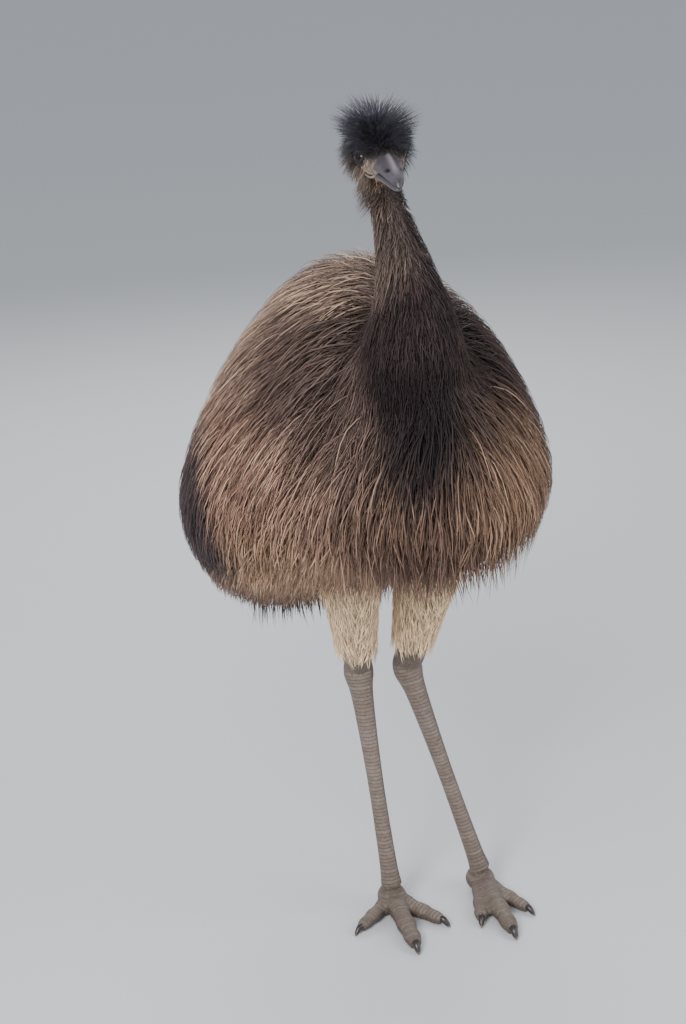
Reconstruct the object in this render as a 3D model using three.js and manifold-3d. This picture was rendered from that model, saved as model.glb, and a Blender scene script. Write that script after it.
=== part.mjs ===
// A life-size standing emu, a still figure with its weight on both feet.
// Millimetres. The bird faces -Y, its left side is +X and up is +Z.

import * as THREE from 'three';
import { mergeVertices } from 'three/addons/utils/BufferGeometryUtils.js';
import Module from 'manifold-3d';

const wasm = await Module();
wasm.setup();

// Driving sizes

const GAP = 0.3; // between pieces that meet
const COAT_GAP = 0.7; // between a lock and a piece that it falls over
const FULL_TURN = 2 * Math.PI;
const DEGREE = Math.PI / 180;

const COAT_DEPTH = 28; // from the body's core out to the tips of its locks
const NECK_COAT_SHARE = 0.16; // of the neck's girth that is feathers
const THIGH_COAT_SHARE = 0.14;

const RUMP_CUT_Y = 60; // where the rump leaves the torso
const TAIL_CUT_Y = 330; // where the tail leaves the rump
const NECK_ROOT = 0.1; // along the neck's line, where the lower neck begins inside the breast
const NECK_MIDDLE = 0.66; // where the upper neck begins
const NECK_TOP = 0.99; // where the head begins

const HEAD_PLACE = vec(-25, -122, 1265); // middle of the skull
const HEAD_TURN = new THREE.Euler(0.03, 0.06, -0.12); // nose down, leaning and turning right, in radians
const SKULL_CUT_Y = -45; // where the bill leaves the face
const EYE_RADIUS = 11;
const EYE_PLACE = vec(24, -18, -2);
const LID_RADIUS = 9.6;
const LID_GIRTH = 2.3;
const EAR_PLACE = vec(31, 15, -4);
const EAR_RADII = vec(5, 4.5, 5.5);
const NOSTRIL_PLACE = vec(9.5, -76, -7);
const NOSTRIL_RADII = vec(3.4, 8, 2.8);
const BROW_PLACE = vec(25, -19, 11);
const BROW_RADII = vec(6, 17, 4.5);
const LIP = { girth: 3, out: -0.6 }; // half thickness, and how far its middle stands out of the face
const MOUTH_LINE = { girth: 0.9, out: 2.2 };

const PAD_HEIGHT = 20; // of the middle of the pad under each ankle
const PAD_RADII = vec(25, 30, 21.5);
const FLOOR_FLAT = 1.2; // how much of each toe's underside the floor flattens

// Boxes for cutting, each larger than what it cuts
const BIRD_ROOM = { half: 600, far: 900, top: 1500 };
const FACE_ROOM = vec(60, 200, 80);
const FLOOR_ROOM = { half: 500, deep: 80 };

// How finely each form is divided: rings along it and points round it
const FINENESS = {
  body: [13, 18],
  lowerNeck: [7, 13],
  upperNeck: [6, 12],
  skull: [10, 18],
  upperBill: [8, 12],
  lowerBill: [7, 12],
  culmen: [4, 5],
  lip: [4, 5],
  wing: [7, 8],
  thigh: [6, 12],
  shank: [10, 10],
  toe: [7, 7],
  claw: [5, 6],
};

// Rows of the body's outline: y, height of the middle, half width, rise, drop
const BODY_ROWS = [
  [-350, 818, 8, 8, 8],
  [-345, 815, 48, 54, 48],
  [-325, 812, 95, 115, 78],
  [-265, 802, 143, 210, 96],
  [-180, 795, 194, 288, 108],
  [-80, 787, 236, 326, 152],
  [40, 762, 267, 342, 184],
  [160, 726, 264, 352, 202],
  [265, 692, 234, 325, 207],
  [345, 650, 198, 268, 200],
  [400, 610, 150, 205, 165],
  [425, 594, 80, 118, 116],
  [432, 592, 12, 14, 14],
];
const BODY_MIDDLE_X = 8; // the breast stands a little to the left of the head
const BACK_PEAK = 1.4; // how much the back narrows to its ridge; 1 is an ellipse
const SKIRT_PEAK = 0.82; // the coat hangs below the flanks, so the underside is squarer than an ellipse

// Rows along the neck from inside the breast up into the head: x, y, z, half across, half deep
const NECK_ROWS = [
  [-5, -140, 902, 95, 100],
  [-10, -178, 977, 84, 88],
  [-12, -190, 1047, 66, 70],
  [-13, -178, 1104, 48, 51],
  [-15, -150, 1162, 35, 38],
  [-18, -124, 1207, 30, 32],
  [-21, -106, 1247, 27, 29],
];

// Rows of the skull: y, height of the middle, half width, rise, drop
const SKULL_ROWS = [
  [47, 2, 3, 3, 3],
  [45, 2, 13, 11, 14],
  [40, 2, 20, 17, 22],
  [30, 3, 27.5, 24, 30],
  [11, 4, 32, 28, 33],
  [-10, 3, 32, 27.5, 33],
  [-28, -1, 27, 22.5, 29],
  [-43, -7, 21, 17, 22],
  [-50, -9, 19, 15, 19],
];
const UPPER_BILL_ROWS = [
  [-41, -11, 20, 17, 5],
  [-57, -12, 18, 15, 4.5],
  [-73, -14.5, 14.5, 12.5, 4],
  [-90, -18, 11, 10, 3.5],
  [-102, -21, 7, 7.5, 3.5],
  [-108, -23.5, 3.5, 4.5, 3],
  [-110, -24.5, 0.8, 1, 1],
];
const LOWER_BILL_ROWS = [
  [-41, -22, 17, 4.5, 7.5],
  [-62, -23, 14, 4, 7],
  [-82, -25.5, 10, 3.5, 6],
  [-97, -28, 6, 2.5, 4.5],
  [-103, -29.3, 2.6, 1.5, 2.3],
  [-104.5, -29.5, 0.6, 0.5, 0.6],
];

// Rows of the ridge along the top of the bill: x, y, z, half across, half deep
const CULMEN_ROWS = [
  [0, -38, 6, 6, 5],
  [0, -60, 3, 4.4, 3],
  [0, -84, -5.5, 3.4, 2.6],
  [0, -100, -12.5, 2.4, 2],
];

// The mouth's corner on the face: y, and the angle round the skull
const GAPE_ROWS = [[-56, -0.6], [-43, -0.66], [-28, -0.83], [-16, -0.92]];

// Each leg's joints, by side
const LEGS = {
  right: {
    hip: vec(-40, 34, 672),
    hock: vec(9, 132, 402),
    ankle: vec(28, 75, 40),
    toes: { inner: vec(88, -23, 0), middle: vec(12, -73, 0), outer: vec(-60, 18, 0) },
  },
  left: {
    hip: vec(98, 24, 672),
    hock: vec(92, 130, 392),
    ankle: vec(180, 62, 40),
    toes: { inner: vec(132, -46, 0), middle: vec(168, -100, 0), outer: vec(225, -50, 0) },
  },
};
const CLAW_LENGTH = 26;
const TOE_GIRTH = { inner: 14.5, middle: 17, outer: 13.5 };

// Rows down each thigh: share of the way from hip to hock, half across, half deep
const THIGH_ROWS = [
  [0, 58, 96],
  [0.3, 43, 74],
  [0.6, 35, 50],
  [0.86, 30, 36],
];
const THIGH_END = { lift: vec(0, 0, 22), wide: 28, deep: 31 }; // from the hock
const SHANK_START = { lift: vec(0, -3, 21), wide: 21, deep: 24 };

// Rows down each shank: share of the way from hock to ankle, half across, half deep
const SHANK_ROWS = [
  [0, 24, 28],
  [0.12, 17, 21],
  [0.5, 12.5, 16],
  [0.88, 14, 16],
  [1, 18, 17],
];

// Rows along each claw from its root: share of its length from the tip, then height of the middle,
// half across and half deep as shares of the toe's girth
const CLAW_ROWS = [
  [1, 0.72, 0.4, 0.42],
  [0.55, 0.74, 0.42, 0.42],
  [0.22, 0.36, 0.28, 0.3],
];

// Rows of locks on each side of the body: y, degrees from the ridge of the first and the last,
// how many, length
const TORSO_COAT = [
  [-312, 22, 135, 3, 170],
  [-232, 36, 128, 4, 200],
  [-130, 18, 118, 5, 225],
  [-20, 9, 112, 5, 240],
];
const RUMP_COAT = [
  [85, 20, 122, 5, 240],
  [178, 9, 122, 5, 225],
  [285, 18, 122, 5, 195],
];
const TAIL_COAT = [
  [348, 8, 118, 4, 150],
  [385, 40, 108, 2, 120],
];
const WING_COAT = [0.3, 0.65]; // places of the wing's locks along it
const LOW_LOCK_CUT = 0.62; // how much shorter the lowest locks of a row are

// Rows of locks round the neck: t, degrees of the first and the last (the front is -90),
// how many, length, width
const LOWER_NECK_COAT = [
  [0.25, -155, -25, 4, 130, 66],
  [0.38, -165, 110, 6, 120, 62],
  [0.52, -172, 128, 6, 100, 48],
];
const UPPER_NECK_COAT = [
  [0.69, -150, 140, 5, 76, 36],
  [0.82, -180, 108, 5, 60, 30],
];

// Rows of locks on the crown: y, degrees to each side of the ridge, how many, length
const CREST_COAT = [
  [-25, 40, 4, 18],
  [-9, 84, 5, 24],
  [10, 100, 6, 26],
  [28, 116, 6, 28],
  [42, 110, 4, 38],
];

// Rows of locks round each thigh: t, how many, length, width
const THIGH_COAT = [
  [0.55, 4, 106, 50],
  [0.8, 5, 66, 36],
];

// Helpers for shapes

function vec(x, y, z) {
  return new THREE.Vector3(x, y, z);
}

// Repeatable random numbers from 0 to 1.
function seeded(seed) {
  let state = seed;
  return () => {
    state = (state + 0x6d2b79f5) | 0;
    let mixed = Math.imul(state ^ (state >>> 15), 1 | state);
    mixed = (mixed + Math.imul(mixed ^ (mixed >>> 7), 61 | mixed)) ^ mixed;
    return ((mixed ^ (mixed >>> 14)) >>> 0) / 4294967296;
  };
}

// Smooth value of one column of a table of rows, read at a place in the first column.
function readRows(rows, column, place) {
  const rising = rows.at(-1)[0] > rows[0][0] ? 1 : -1;
  const last = rows.length - 2;
  let k = 0;
  while (k < last && (place - rows[k + 1][0]) * rising > 0) k += 1;
  const slope = (i) => {
    const low = rows[Math.max(i - 1, 0)];
    const high = rows[Math.min(i + 1, rows.length - 1)];
    return (high[column] - low[column]) / (high[0] - low[0]);
  };
  const [start, end] = [rows[k], rows[k + 1]];
  const span = end[0] - start[0];
  const t = THREE.MathUtils.clamp((place - start[0]) / span, 0, 1);
  const t2 = t * t;
  const t3 = t2 * t;
  return (2 * t3 - 3 * t2 + 1) * start[column] + (t3 - 2 * t2 + t) * span * slope(k)
    + (3 * t2 - 2 * t3) * end[column] + (t3 - t2) * span * slope(k + 1);
}

// The rows of the core under a coat: the outline drawn in all round by its depth.
function insetRows(rows, depth) {
  const [first, last] = [rows[0][0], rows.at(-1)[0]];
  const middle = (first + last) / 2;
  const shrink = 1 - 2 * depth / Math.abs(last - first);
  return rows.map(([y, z, ...sizes]) => [
    middle + (y - middle) * shrink,
    z,
    ...sizes.map((size) => Math.max(size - depth, size * 0.4)),
  ]);
}

// Closed skin over rings of equal count, each end closed on its ring's middle.
function skinOver(rings) {
  const count = rings[0].length;
  const middle = (points) => points.reduce((sum, p) => sum.add(p), vec(0, 0, 0)).divideScalar(count);
  const points = [middle(rings[0]), ...rings.flat(), middle(rings.at(-1))];
  const at = (row, k) => 1 + row * count + (k % count);
  const faces = [];
  for (let k = 0; k < count; k += 1) {
    faces.push(0, at(0, k + 1), at(0, k));
    faces.push(points.length - 1, at(rings.length - 1, k), at(rings.length - 1, k + 1));
    for (let row = 0; row < rings.length - 1; row += 1) {
      faces.push(at(row, k), at(row, k + 1), at(row + 1, k));
      faces.push(at(row, k + 1), at(row + 1, k + 1), at(row + 1, k));
    }
  }
  return faceOut(points, faces);
}

// Geometry from points and faces, turned so that its faces point out.
function faceOut(points, faces) {
  let volume = 0;
  for (let i = 0; i < faces.length; i += 3) {
    const [a, b, c] = [points[faces[i]], points[faces[i + 1]], points[faces[i + 2]]];
    volume += a.dot(cross(b, c));
  }
  const geometry = new THREE.BufferGeometry().setFromPoints(points);
  geometry.setIndex(volume > 0 ? faces : faces.toReversed());
  return geometry;
}

function cross(a, b) {
  return vec(0, 0, 0).crossVectors(a, b);
}

function toSolid(geometry) {
  const bare = geometry.clone();
  bare.deleteAttribute('normal');
  bare.deleteAttribute('uv');
  const merged = mergeVertices(bare, 1e-4);
  return new wasm.Manifold(new wasm.Mesh({
    numProp: 3,
    vertProperties: merged.attributes.position.array,
    triVerts: new Uint32Array(merged.index.array),
  }));
}

function toGeometry(solid) {
  const mesh = solid.getMesh();
  const geometry = new THREE.BufferGeometry();
  geometry.setAttribute('position', new THREE.BufferAttribute(mesh.vertProperties, 3));
  geometry.setIndex(new THREE.BufferAttribute(mesh.triVerts, 1));
  geometry.computeVertexNormals();
  return geometry;
}

function join(solids) {
  return wasm.Manifold.union(solids);
}

// The largest closed surface of a solid; scraps that a cut left loose are dropped.
function keepLargest(solid) {
  const outer = solid.decompose().filter((piece) => piece.volume() > 0);
  return outer.reduce((best, piece) => (piece.volume() > best.volume() ? piece : best));
}

function box(low, high) {
  const size = high.clone().sub(low);
  const geometry = new THREE.BoxGeometry(size.x, size.y, size.z);
  geometry.translate(...low.clone().addScaledVector(size, 0.5).toArray());
  return toSolid(geometry);
}

function ellipsoid(centre, radii, turn = new THREE.Euler(), fine = 14) {
  const geometry = new THREE.SphereGeometry(1, fine, Math.ceil(fine * 0.6));
  const placed = new THREE.Matrix4().compose(centre, new THREE.Quaternion().setFromEuler(turn), radii);
  return toSolid(geometry.applyMatrix4(placed));
}

function onSide(point, side) {
  return vec(point.x * side, point.y, point.z);
}

// A body form along Y: rings read from a table of rows.
class Hull {
  constructor(rows, middleX, peaks = [1, 1]) {
    this.rows = rows;
    this.middleX = middleX;
    this.peaks = peaks; // above and below the middle
    this.ends = [rows[0][0], rows.at(-1)[0]];
    this.probe = [1, 0.02]; // steps for reading slopes
  }

  // Point at a place along, an angle round (0 at the left side, a quarter turn on top), lifted by height.
  at(y, angle, height) {
    const [across, up] = [Math.cos(angle), Math.sin(angle)];
    const power = this.peaks[up > 0 ? 0 : 1];
    const rise = readRows(this.rows, up > 0 ? 3 : 4, y) + height;
    const wide = readRows(this.rows, 2, y) + height;
    return vec(
      this.middleX + wide * Math.sign(across) * Math.abs(across) ** power,
      y,
      readRows(this.rows, 1, y) + rise * Math.sign(up) * Math.abs(up) ** power,
    );
  }

  solid(ringCount, count, grow = 0) {
    const rings = [];
    for (let i = 0; i < ringCount; i += 1) {
      const ease = 0.5 - 0.5 * Math.cos(Math.PI * i / (ringCount - 1));
      const y = THREE.MathUtils.lerp(...this.ends, ease);
      rings.push(Array.from({ length: count }, (_, k) => this.at(y, FULL_TURN * k / count, grow)));
    }
    return toSolid(skinOver(rings));
  }
}

// A limb form: rings swept along a smooth line through rows of x, y, z, half across, half deep.
class Limb {
  constructor(rows, across = vec(1, 0, 0)) {
    this.line = new THREE.CatmullRomCurve3(rows.map(([x, y, z]) => vec(x, y, z)));
    this.size = new THREE.CatmullRomCurve3(rows.map(([, , , wide, deep]) => vec(wide, deep, 0)));
    this.across = across;
    this.ends = [0, 1];
    this.probe = [0.005, 0.02]; // steps for reading slopes
  }

  // Point at t along the line, an angle round (0 across, a quarter turn to the back), lifted by height.
  // Past its two ends the line runs straight on.
  at(t, angle, height) {
    const inside = THREE.MathUtils.clamp(t, 0, 1);
    const along = this.line.getTangent(inside);
    const deep = cross(along, this.across).normalize();
    const wide = cross(deep, along);
    const size = this.size.getPoint(inside);
    return this.line.getPoint(inside)
      .addScaledVector(along, (t - inside) * this.line.getLength())
      .addScaledVector(wide, (size.x + height) * Math.cos(angle))
      .addScaledVector(deep, (size.y + height) * Math.sin(angle));
  }

  solid(from, to, ringCount, count, grow = 0) {
    const extra = grow / this.line.getLength();
    const rings = [];
    for (let i = 0; i < ringCount; i += 1) {
      const t = THREE.MathUtils.lerp(from - extra, to + extra, i / (ringCount - 1));
      rings.push(Array.from({ length: count }, (_, k) => this.at(t, FULL_TURN * k / count, grow)));
    }
    return toSolid(skinOver(rings));
  }
}

function rowAt(point, wide, deep) {
  return [...point.toArray(), wide, deep];
}

// Locks of feathers

// Stations along a lock: share of its length, width, thickness and rise
const LOCK_SHAPE = [
  [0, 0.65, 0.7, 0],
  [0.35, 1, 1, 0.62],
  [0.75, 0.62, 0.65, 0.95],
  [1, 0, 0, 1],
];
const TRACE_STEPS = 20;
const TURNED_UNDER = -0.7; // upward part of the normal where a lock leaves the form and hangs
const HANG_TURN = 0.3; // how much of the way to straight down a hanging lock turns at each step
const DOWN = vec(0, 0, -1);

// Slopes and normal of a form at one of its places.
function surfaceAt(form, place, round) {
  const [stepPlace, stepRound] = form.probe;
  const centre = form.at(place, round, 0);
  const lengthwise = form.at(place + stepPlace, round, 0).sub(form.at(place - stepPlace, round, 0));
  const around = form.at(place, round + stepRound, 0).sub(form.at(place, round - stepRound, 0));
  lengthwise.divideScalar(2 * stepPlace);
  around.divideScalar(2 * stepRound);
  const normal = cross(lengthwise, around).normalize();
  if (normal.dot(form.at(place, round, 1).sub(centre)) < 0) normal.negate();
  return { centre, lengthwise, around, normal };
}

// Frames along a lock's path: over the form along the pull, then hanging where the form turns under or ends.
function traceLock(form, place, round, length, pull) {
  const step = length / TRACE_STEPS;
  const frames = [];
  let [a, b] = [place, round];
  let hanging = false;
  for (let i = 0; i <= TRACE_STEPS; i += 1) {
    if (!hanging) {
      const { centre, lengthwise, around, normal } = surfaceAt(form, a, b);
      const along = pull.clone().addScaledVector(normal, -pull.dot(normal)).normalize();
      frames.push({ centre, along, normal });
      const [g11, g12, g22] = [lengthwise.lengthSq(), lengthwise.dot(around), around.lengthSq()];
      const [r1, r2] = [lengthwise.dot(along), around.dot(along)];
      const divisor = g11 * g22 - g12 * g12;
      a += step * (r1 * g22 - r2 * g12) / divisor;
      b += step * (r2 * g11 - r1 * g12) / divisor;
      hanging = normal.z < TURNED_UNDER || a < Math.min(...form.ends) || a > Math.max(...form.ends);
    } else {
      const last = frames.at(-1);
      const along = last.along.clone().lerp(DOWN, HANG_TURN).normalize();
      const normal = last.normal.clone().addScaledVector(along, -last.normal.dot(along)).normalize();
      const centre = last.centre.clone().addScaledVector(along, step);
      frames.push({ centre, along, normal });
    }
  }
  return LOCK_SHAPE.map(([share]) => frames[Math.round(share * TRACE_STEPS)]);
}

// A flat, tapered lock: rooted under a form's surface, rising to its tip, its edges bent down with the form.
class Lock {
  constructor(form, place, round, look) {
    this.look = look;
    this.frames = traceLock(form, place, round, look.length, look.pull);
  }

  // Rings of a ridge and two edges; grown, its edges also stand up and down by the growth.
  solid(grow = 0) {
    const { width, thick, root, rise, sag } = this.look;
    const points = [];
    this.frames.slice(0, -1).forEach(({ centre, along, normal }, i) => {
      const [, wideShare, thickShare, riseShare] = LOCK_SHAPE[i];
      const side = cross(along, normal).normalize();
      const halfWide = width / 2 * wideShare;
      const halfThick = thick / 2 * thickShare;
      const height = THREE.MathUtils.lerp(-root, rise, riseShare);
      const place = (out, up) => centre.clone()
        .addScaledVector(along, i === 0 ? -grow : 0)
        .addScaledVector(side, out)
        .addScaledVector(normal, height + up);
      const edge = -sag * halfWide - halfThick;
      points.push(place(-halfWide - grow, edge + grow));
      points.push(place(0, halfThick + grow));
      points.push(place(halfWide + grow, edge + grow));
      if (grow > 0) points.push(place(halfWide + grow, edge - grow), place(-halfWide - grow, edge - grow));
    });
    const tip = this.frames.at(-1);
    points.push(tip.centre.clone().addScaledVector(tip.normal, rise).addScaledVector(tip.along, 3 * grow));
    return toSolid(faceOut(points, tubeFaces(grow > 0 ? 5 : 3, LOCK_SHAPE.length - 1)));
  }
}

// Faces of rings one after another, closed flat at the first and on one last point.
function tubeFaces(count, rings) {
  const faces = [];
  for (let k = 2; k < count; k += 1) faces.push(0, k - 1, k);
  for (let k = 0; k < count; k += 1) {
    const next = (k + 1) % count;
    for (let row = 0; row < rings - 1; row += 1) {
      const [low, high] = [row * count, (row + 1) * count];
      faces.push(low + next, low + k, high + k);
      faces.push(high + next, low + next, high + k);
    }
    const last = (rings - 1) * count;
    faces.push(last + next, last + k, rings * count);
  }
  return faces;
}

// A core with its locks; the locks are cut clear of what they would cross, which comes with its gap.
function feathered(core, locks, cutters) {
  const coat = join(locks.map((lock) => lock.solid())).subtract(join(cutters));
  return keepLargest(core.add(coat));
}

function grown(locks) {
  return locks.map((lock) => lock.solid(COAT_GAP));
}

// The body

const body = new Hull(insetRows(BODY_ROWS, COAT_DEPTH), BODY_MIDDLE_X, [BACK_PEAK, SKIRT_PEAK]);
const bodyRandom = seeded(11);

// The space between two places along the body, kept half a gap clear of both.
function bodyRange(from, to) {
  const { half, top } = BIRD_ROOM;
  return box(vec(-half, from + GAP / 2, 0), vec(half, to - GAP / 2, top));
}

function bodySolid(grow) {
  return body.solid(...FINENESS.body, grow);
}

function bodyCore(from, to, grow = 0) {
  return bodySolid(grow).intersect(bodyRange(from - grow, to + grow));
}

// Staggered rows down both flanks, parted along the ridge.
function bodyLocks(rows) {
  const vary = (spread) => 1 + spread * (bodyRandom() - 0.5);
  return rows.flatMap(([y, first, last, count, length]) => [-1, 1].flatMap((side) => (
    Array.from({ length: count }, (_, k) => {
      const fromRidge = THREE.MathUtils.lerp(first, last, k / (count - 1)) + 5 * (bodyRandom() - 0.5);
      const low = THREE.MathUtils.smoothstep(fromRidge, 75, 128);
      const reach = length * vary(0.25) * (1 - LOW_LOCK_CUT * low);
      return new Lock(body, y + 24 * (bodyRandom() - 0.5), Math.PI / 2 - side * fromRidge * DEGREE, {
        length: reach,
        width: reach * 0.47 * vary(0.2),
        thick: 8,
        root: 7,
        rise: COAT_DEPTH * vary(0.2),
        sag: 0.1,
        pull: vec(side * 0.3 * vary(0.8), 0.65 * vary(0.5), -1),
      });
    })
  )));
}

// A small wing, folded low on the shoulder and half sunk in the coat, its tip pointing back and down.
function wingLimb(side) {
  const place = (y, round, out) => body.at(y, side > 0 ? round : Math.PI - round, COAT_DEPTH + out);
  return new Limb([
    rowAt(place(-140, 0.38, -40), 9, 16),
    rowAt(place(-85, 0.26, -18), 12, 25),
    rowAt(place(-20, 0.06, -4), 12, 27),
    rowAt(place(35, -0.14, -2), 8, 21),
    rowAt(place(80, -0.34, 0), 3, 8),
  ], vec(side, 0, 0.2));
}

function wingLocks(side, form) {
  const random = seeded(21 + side);
  return WING_COAT.map((t) => new Lock(form, t, -0.2 + 0.3 * (random() - 0.5), {
    length: 120 + 30 * random(),
    width: 38,
    thick: 4.5,
    root: 5,
    rise: 5,
    sag: 0.1,
    pull: vec(side * 0.1, 0.8, -1),
  }));
}

// The neck

const neck = new Limb(NECK_ROWS.map(([x, y, z, ...sizes]) => (
  [x, y, z, ...sizes.map((size) => size * (1 - NECK_COAT_SHARE))]
)));
const NECK_STEP = GAP / neck.line.getLength();

function neckLocks(rows, seed) {
  const random = seeded(seed);
  return rows.flatMap(([t, first, last, count, length, width]) => Array.from({ length: count }, (_, k) => {
    const round = THREE.MathUtils.lerp(first, last, k / (count - 1)) * DEGREE + 0.15 * (random() - 0.5);
    return new Lock(neck, t + 0.02 * (random() - 0.5), round, {
      length: length * (0.9 + 0.2 * random()),
      width: width * (0.9 + 0.2 * random()),
      thick: width * 0.11,
      root: width * 0.12,
      rise: width * (0.24 + 0.06 * random()),
      sag: 0.25,
      pull: vec(0.2 * (random() - 0.5) + 0.25 * Math.cos(round), 0.25 * Math.sin(round), -1),
    });
  }));
}

function lowerNeckCore(grow = 0) {
  return neck.solid(NECK_ROOT, NECK_MIDDLE, ...FINENESS.lowerNeck, grow);
}

function upperNeckCore(grow = 0) {
  return neck.solid(NECK_MIDDLE + NECK_STEP, NECK_TOP, ...FINENESS.upperNeck, grow);
}

// The head, shaped in its own frame: nose along -Y, the skull's middle at zero

const headFrame = new THREE.Matrix4().compose(
  HEAD_PLACE,
  new THREE.Quaternion().setFromEuler(HEAD_TURN),
  vec(1, 1, 1),
);
const skull = new Hull(SKULL_ROWS, 0);

function fromHead(solid) {
  return solid.transform(headFrame.elements);
}

function toHead(solid) {
  return solid.transform(headFrame.clone().invert().elements);
}

function eyeBall(side, grow = 0) {
  return ellipsoid(onSide(EYE_PLACE, side), vec(1, 1, 1).multiplyScalar(EYE_RADIUS + grow), undefined, 12);
}

// A ring of lid round the eye, and the brow over it.
function lidSolid(side) {
  const ring = new THREE.TorusGeometry(LID_RADIUS, LID_GIRTH, 4, 12);
  ring.rotateY(Math.PI / 2 - side * 0.12);
  ring.translate(side * (EYE_PLACE.x + 6), EYE_PLACE.y, EYE_PLACE.z);
  const brow = ellipsoid(onSide(BROW_PLACE, side), BROW_RADII, new THREE.Euler(0.1, side * 0.5, 0), 8);
  return toSolid(ring).add(brow);
}

// A strip along the mouth's corner on the face.
function gapeSolid(side, { girth, out }) {
  const place = ([y, angle]) => onSide(skull.at(y, angle, out), side);
  const strip = new Limb(GAPE_ROWS.map((row) => rowAt(place(row), girth, girth)), vec(0, 0, 1));
  return strip.solid(0, 1, ...FINENESS.lip);
}

function faceSolid(grow = 0) {
  const front = box(FACE_ROOM.clone().negate(), FACE_ROOM.clone().setY(SKULL_CUT_Y));
  const lips = [-1, 1].map((side) => gapeSolid(side, LIP));
  const lids = [-1, 1].map((side) => lidSolid(side));
  let face = join([skull.solid(...FINENESS.skull, grow), ...lips, ...lids]).subtract(front);
  for (const side of [-1, 1]) {
    face = face.subtract(eyeBall(side, GAP)).subtract(gapeSolid(side, MOUTH_LINE));
    face = face.subtract(ellipsoid(onSide(EAR_PLACE, side), EAR_RADII, undefined, 7));
  }
  return face;
}

function crestLocks() {
  const random = seeded(31);
  return CREST_COAT.flatMap(([y, spread, count, length]) => Array.from({ length: count }, (_, k) => {
    const fromRidge = THREE.MathUtils.lerp(-spread, spread, k / (count - 1)) + 8 * (random() - 0.5);
    const lean = Math.sin(fromRidge * DEGREE);
    return new Lock(skull, y + 5 * (random() - 0.5), Math.PI / 2 - fromRidge * DEGREE, {
      length: length * (0.85 + 0.3 * random()),
      width: 24,
      thick: 4,
      root: 5,
      rise: (43 - 28 * Math.abs(lean)) * (0.85 + 0.3 * random()),
      sag: 0.2,
      pull: vec(lean * 0.6 + 0.5 * (random() - 0.5), 1, -0.3 - 0.8 * Math.abs(lean)),
    });
  }));
}

// What lies behind the bill's root.
function behindBill() {
  const { x, y, z } = FACE_ROOM;
  return box(vec(-x, SKULL_CUT_Y - GAP, -z), vec(x, y / 2, z));
}

function upperBillSolid(grow = 0) {
  const ridge = new Limb(CULMEN_ROWS).solid(0, 1, ...FINENESS.culmen, grow);
  let bill = new Hull(UPPER_BILL_ROWS, 0).solid(...FINENESS.upperBill, grow).add(ridge);
  bill = bill.subtract(behindBill());
  for (const side of [-1, 1]) {
    const turn = new THREE.Euler(0.2, side * 0.6, side * 0.12);
    bill = bill.subtract(ellipsoid(onSide(NOSTRIL_PLACE, side), NOSTRIL_RADII, turn, 7));
  }
  return bill;
}

function lowerBillSolid() {
  const bill = new Hull(LOWER_BILL_ROWS, 0).solid(...FINENESS.lowerBill);
  return bill.subtract(behindBill()).subtract(upperBillSolid(GAP));
}

// The legs

function between(start, end, share) {
  return start.clone().lerp(end, share);
}

function thighLimb(leg) {
  const bare = 1 - THIGH_COAT_SHARE;
  const { lift, wide, deep } = THIGH_END;
  return new Limb([
    ...THIGH_ROWS.map(([share, ...half]) => (
      rowAt(between(leg.hip, leg.hock, share), half[0] * bare, half[1] * bare)
    )),
    rowAt(leg.hock.clone().add(lift), wide * bare, deep * bare),
  ]);
}

function thighLocks(form, seed) {
  const random = seeded(seed);
  return THIGH_COAT.flatMap(([t, count, length, width], row) => Array.from({ length: count }, (_, k) => {
    const round = FULL_TURN * (k + row / 2) / count + 0.2 * (random() - 0.5);
    return new Lock(form, t, round, {
      length: length * (0.8 + 0.4 * random()),
      width,
      thick: 4.5,
      root: 4,
      rise: 6 + 3 * random(),
      sag: 0.25,
      pull: vec(0.15 * Math.cos(round), 0.15 * Math.sin(round) + 0.1, -1),
    });
  }));
}

function shankLimb(leg) {
  const { lift, wide, deep } = SHANK_START;
  return new Limb([
    rowAt(leg.hock.clone().add(lift), wide, deep),
    ...SHANK_ROWS.map(([share, ...half]) => rowAt(between(leg.hock, leg.ankle, share), ...half)),
  ]);
}

// The pad under the ankle, where the three toes spread.
function padSolid(leg, grow = 0) {
  const centre = leg.ankle.clone().setZ(PAD_HEIGHT);
  const front = leg.toes.middle.clone().sub(leg.ankle).setZ(0).normalize();
  const turn = new THREE.Euler(0, 0, Math.atan2(front.y, front.x) + Math.PI / 2);
  const ball = ellipsoid(centre, PAD_RADII.clone().addScalar(grow), turn, 12);
  return ball.subtract(underFloor(grow));
}

// What lies below the floor, which makes the soles flat.
function underFloor(grow = 0) {
  const { half, deep } = FLOOR_ROOM;
  return box(vec(-half, -half, -deep), vec(half, half, -grow));
}

function toeLimb(leg, name) {
  const girth = TOE_GIRTH[name];
  const root = leg.ankle.clone().setZ(PAD_HEIGHT);
  const run = leg.toes[name].clone().sub(root).setZ(0);
  const along = run.clone().normalize();
  const length = run.length() - CLAW_LENGTH * 0.6;
  const place = (share, z) => root.clone().addScaledVector(along, length * share).setZ(z);
  const sole = (half) => half - FLOOR_FLAT;
  return new Limb([
    rowAt(place(0.1, 19), girth, girth),
    rowAt(place(0.3, sole(girth) + 1), girth, girth),
    rowAt(place(0.45, sole(girth * 0.86)), girth * 0.88, girth * 0.86),
    rowAt(place(0.62, sole(girth * 0.84)), girth * 0.95, girth * 0.84),
    rowAt(place(0.82, sole(girth * 0.7)), girth * 0.8, girth * 0.7),
    rowAt(place(1, sole(girth * 0.62)), girth * 0.58, girth * 0.62),
  ], vec(-along.y, along.x, 0));
}

function toeSolid(leg, name, grow = 0) {
  return toeLimb(leg, name).solid(0, 1, ...FINENESS.toe, grow).subtract(underFloor(grow));
}

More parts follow.
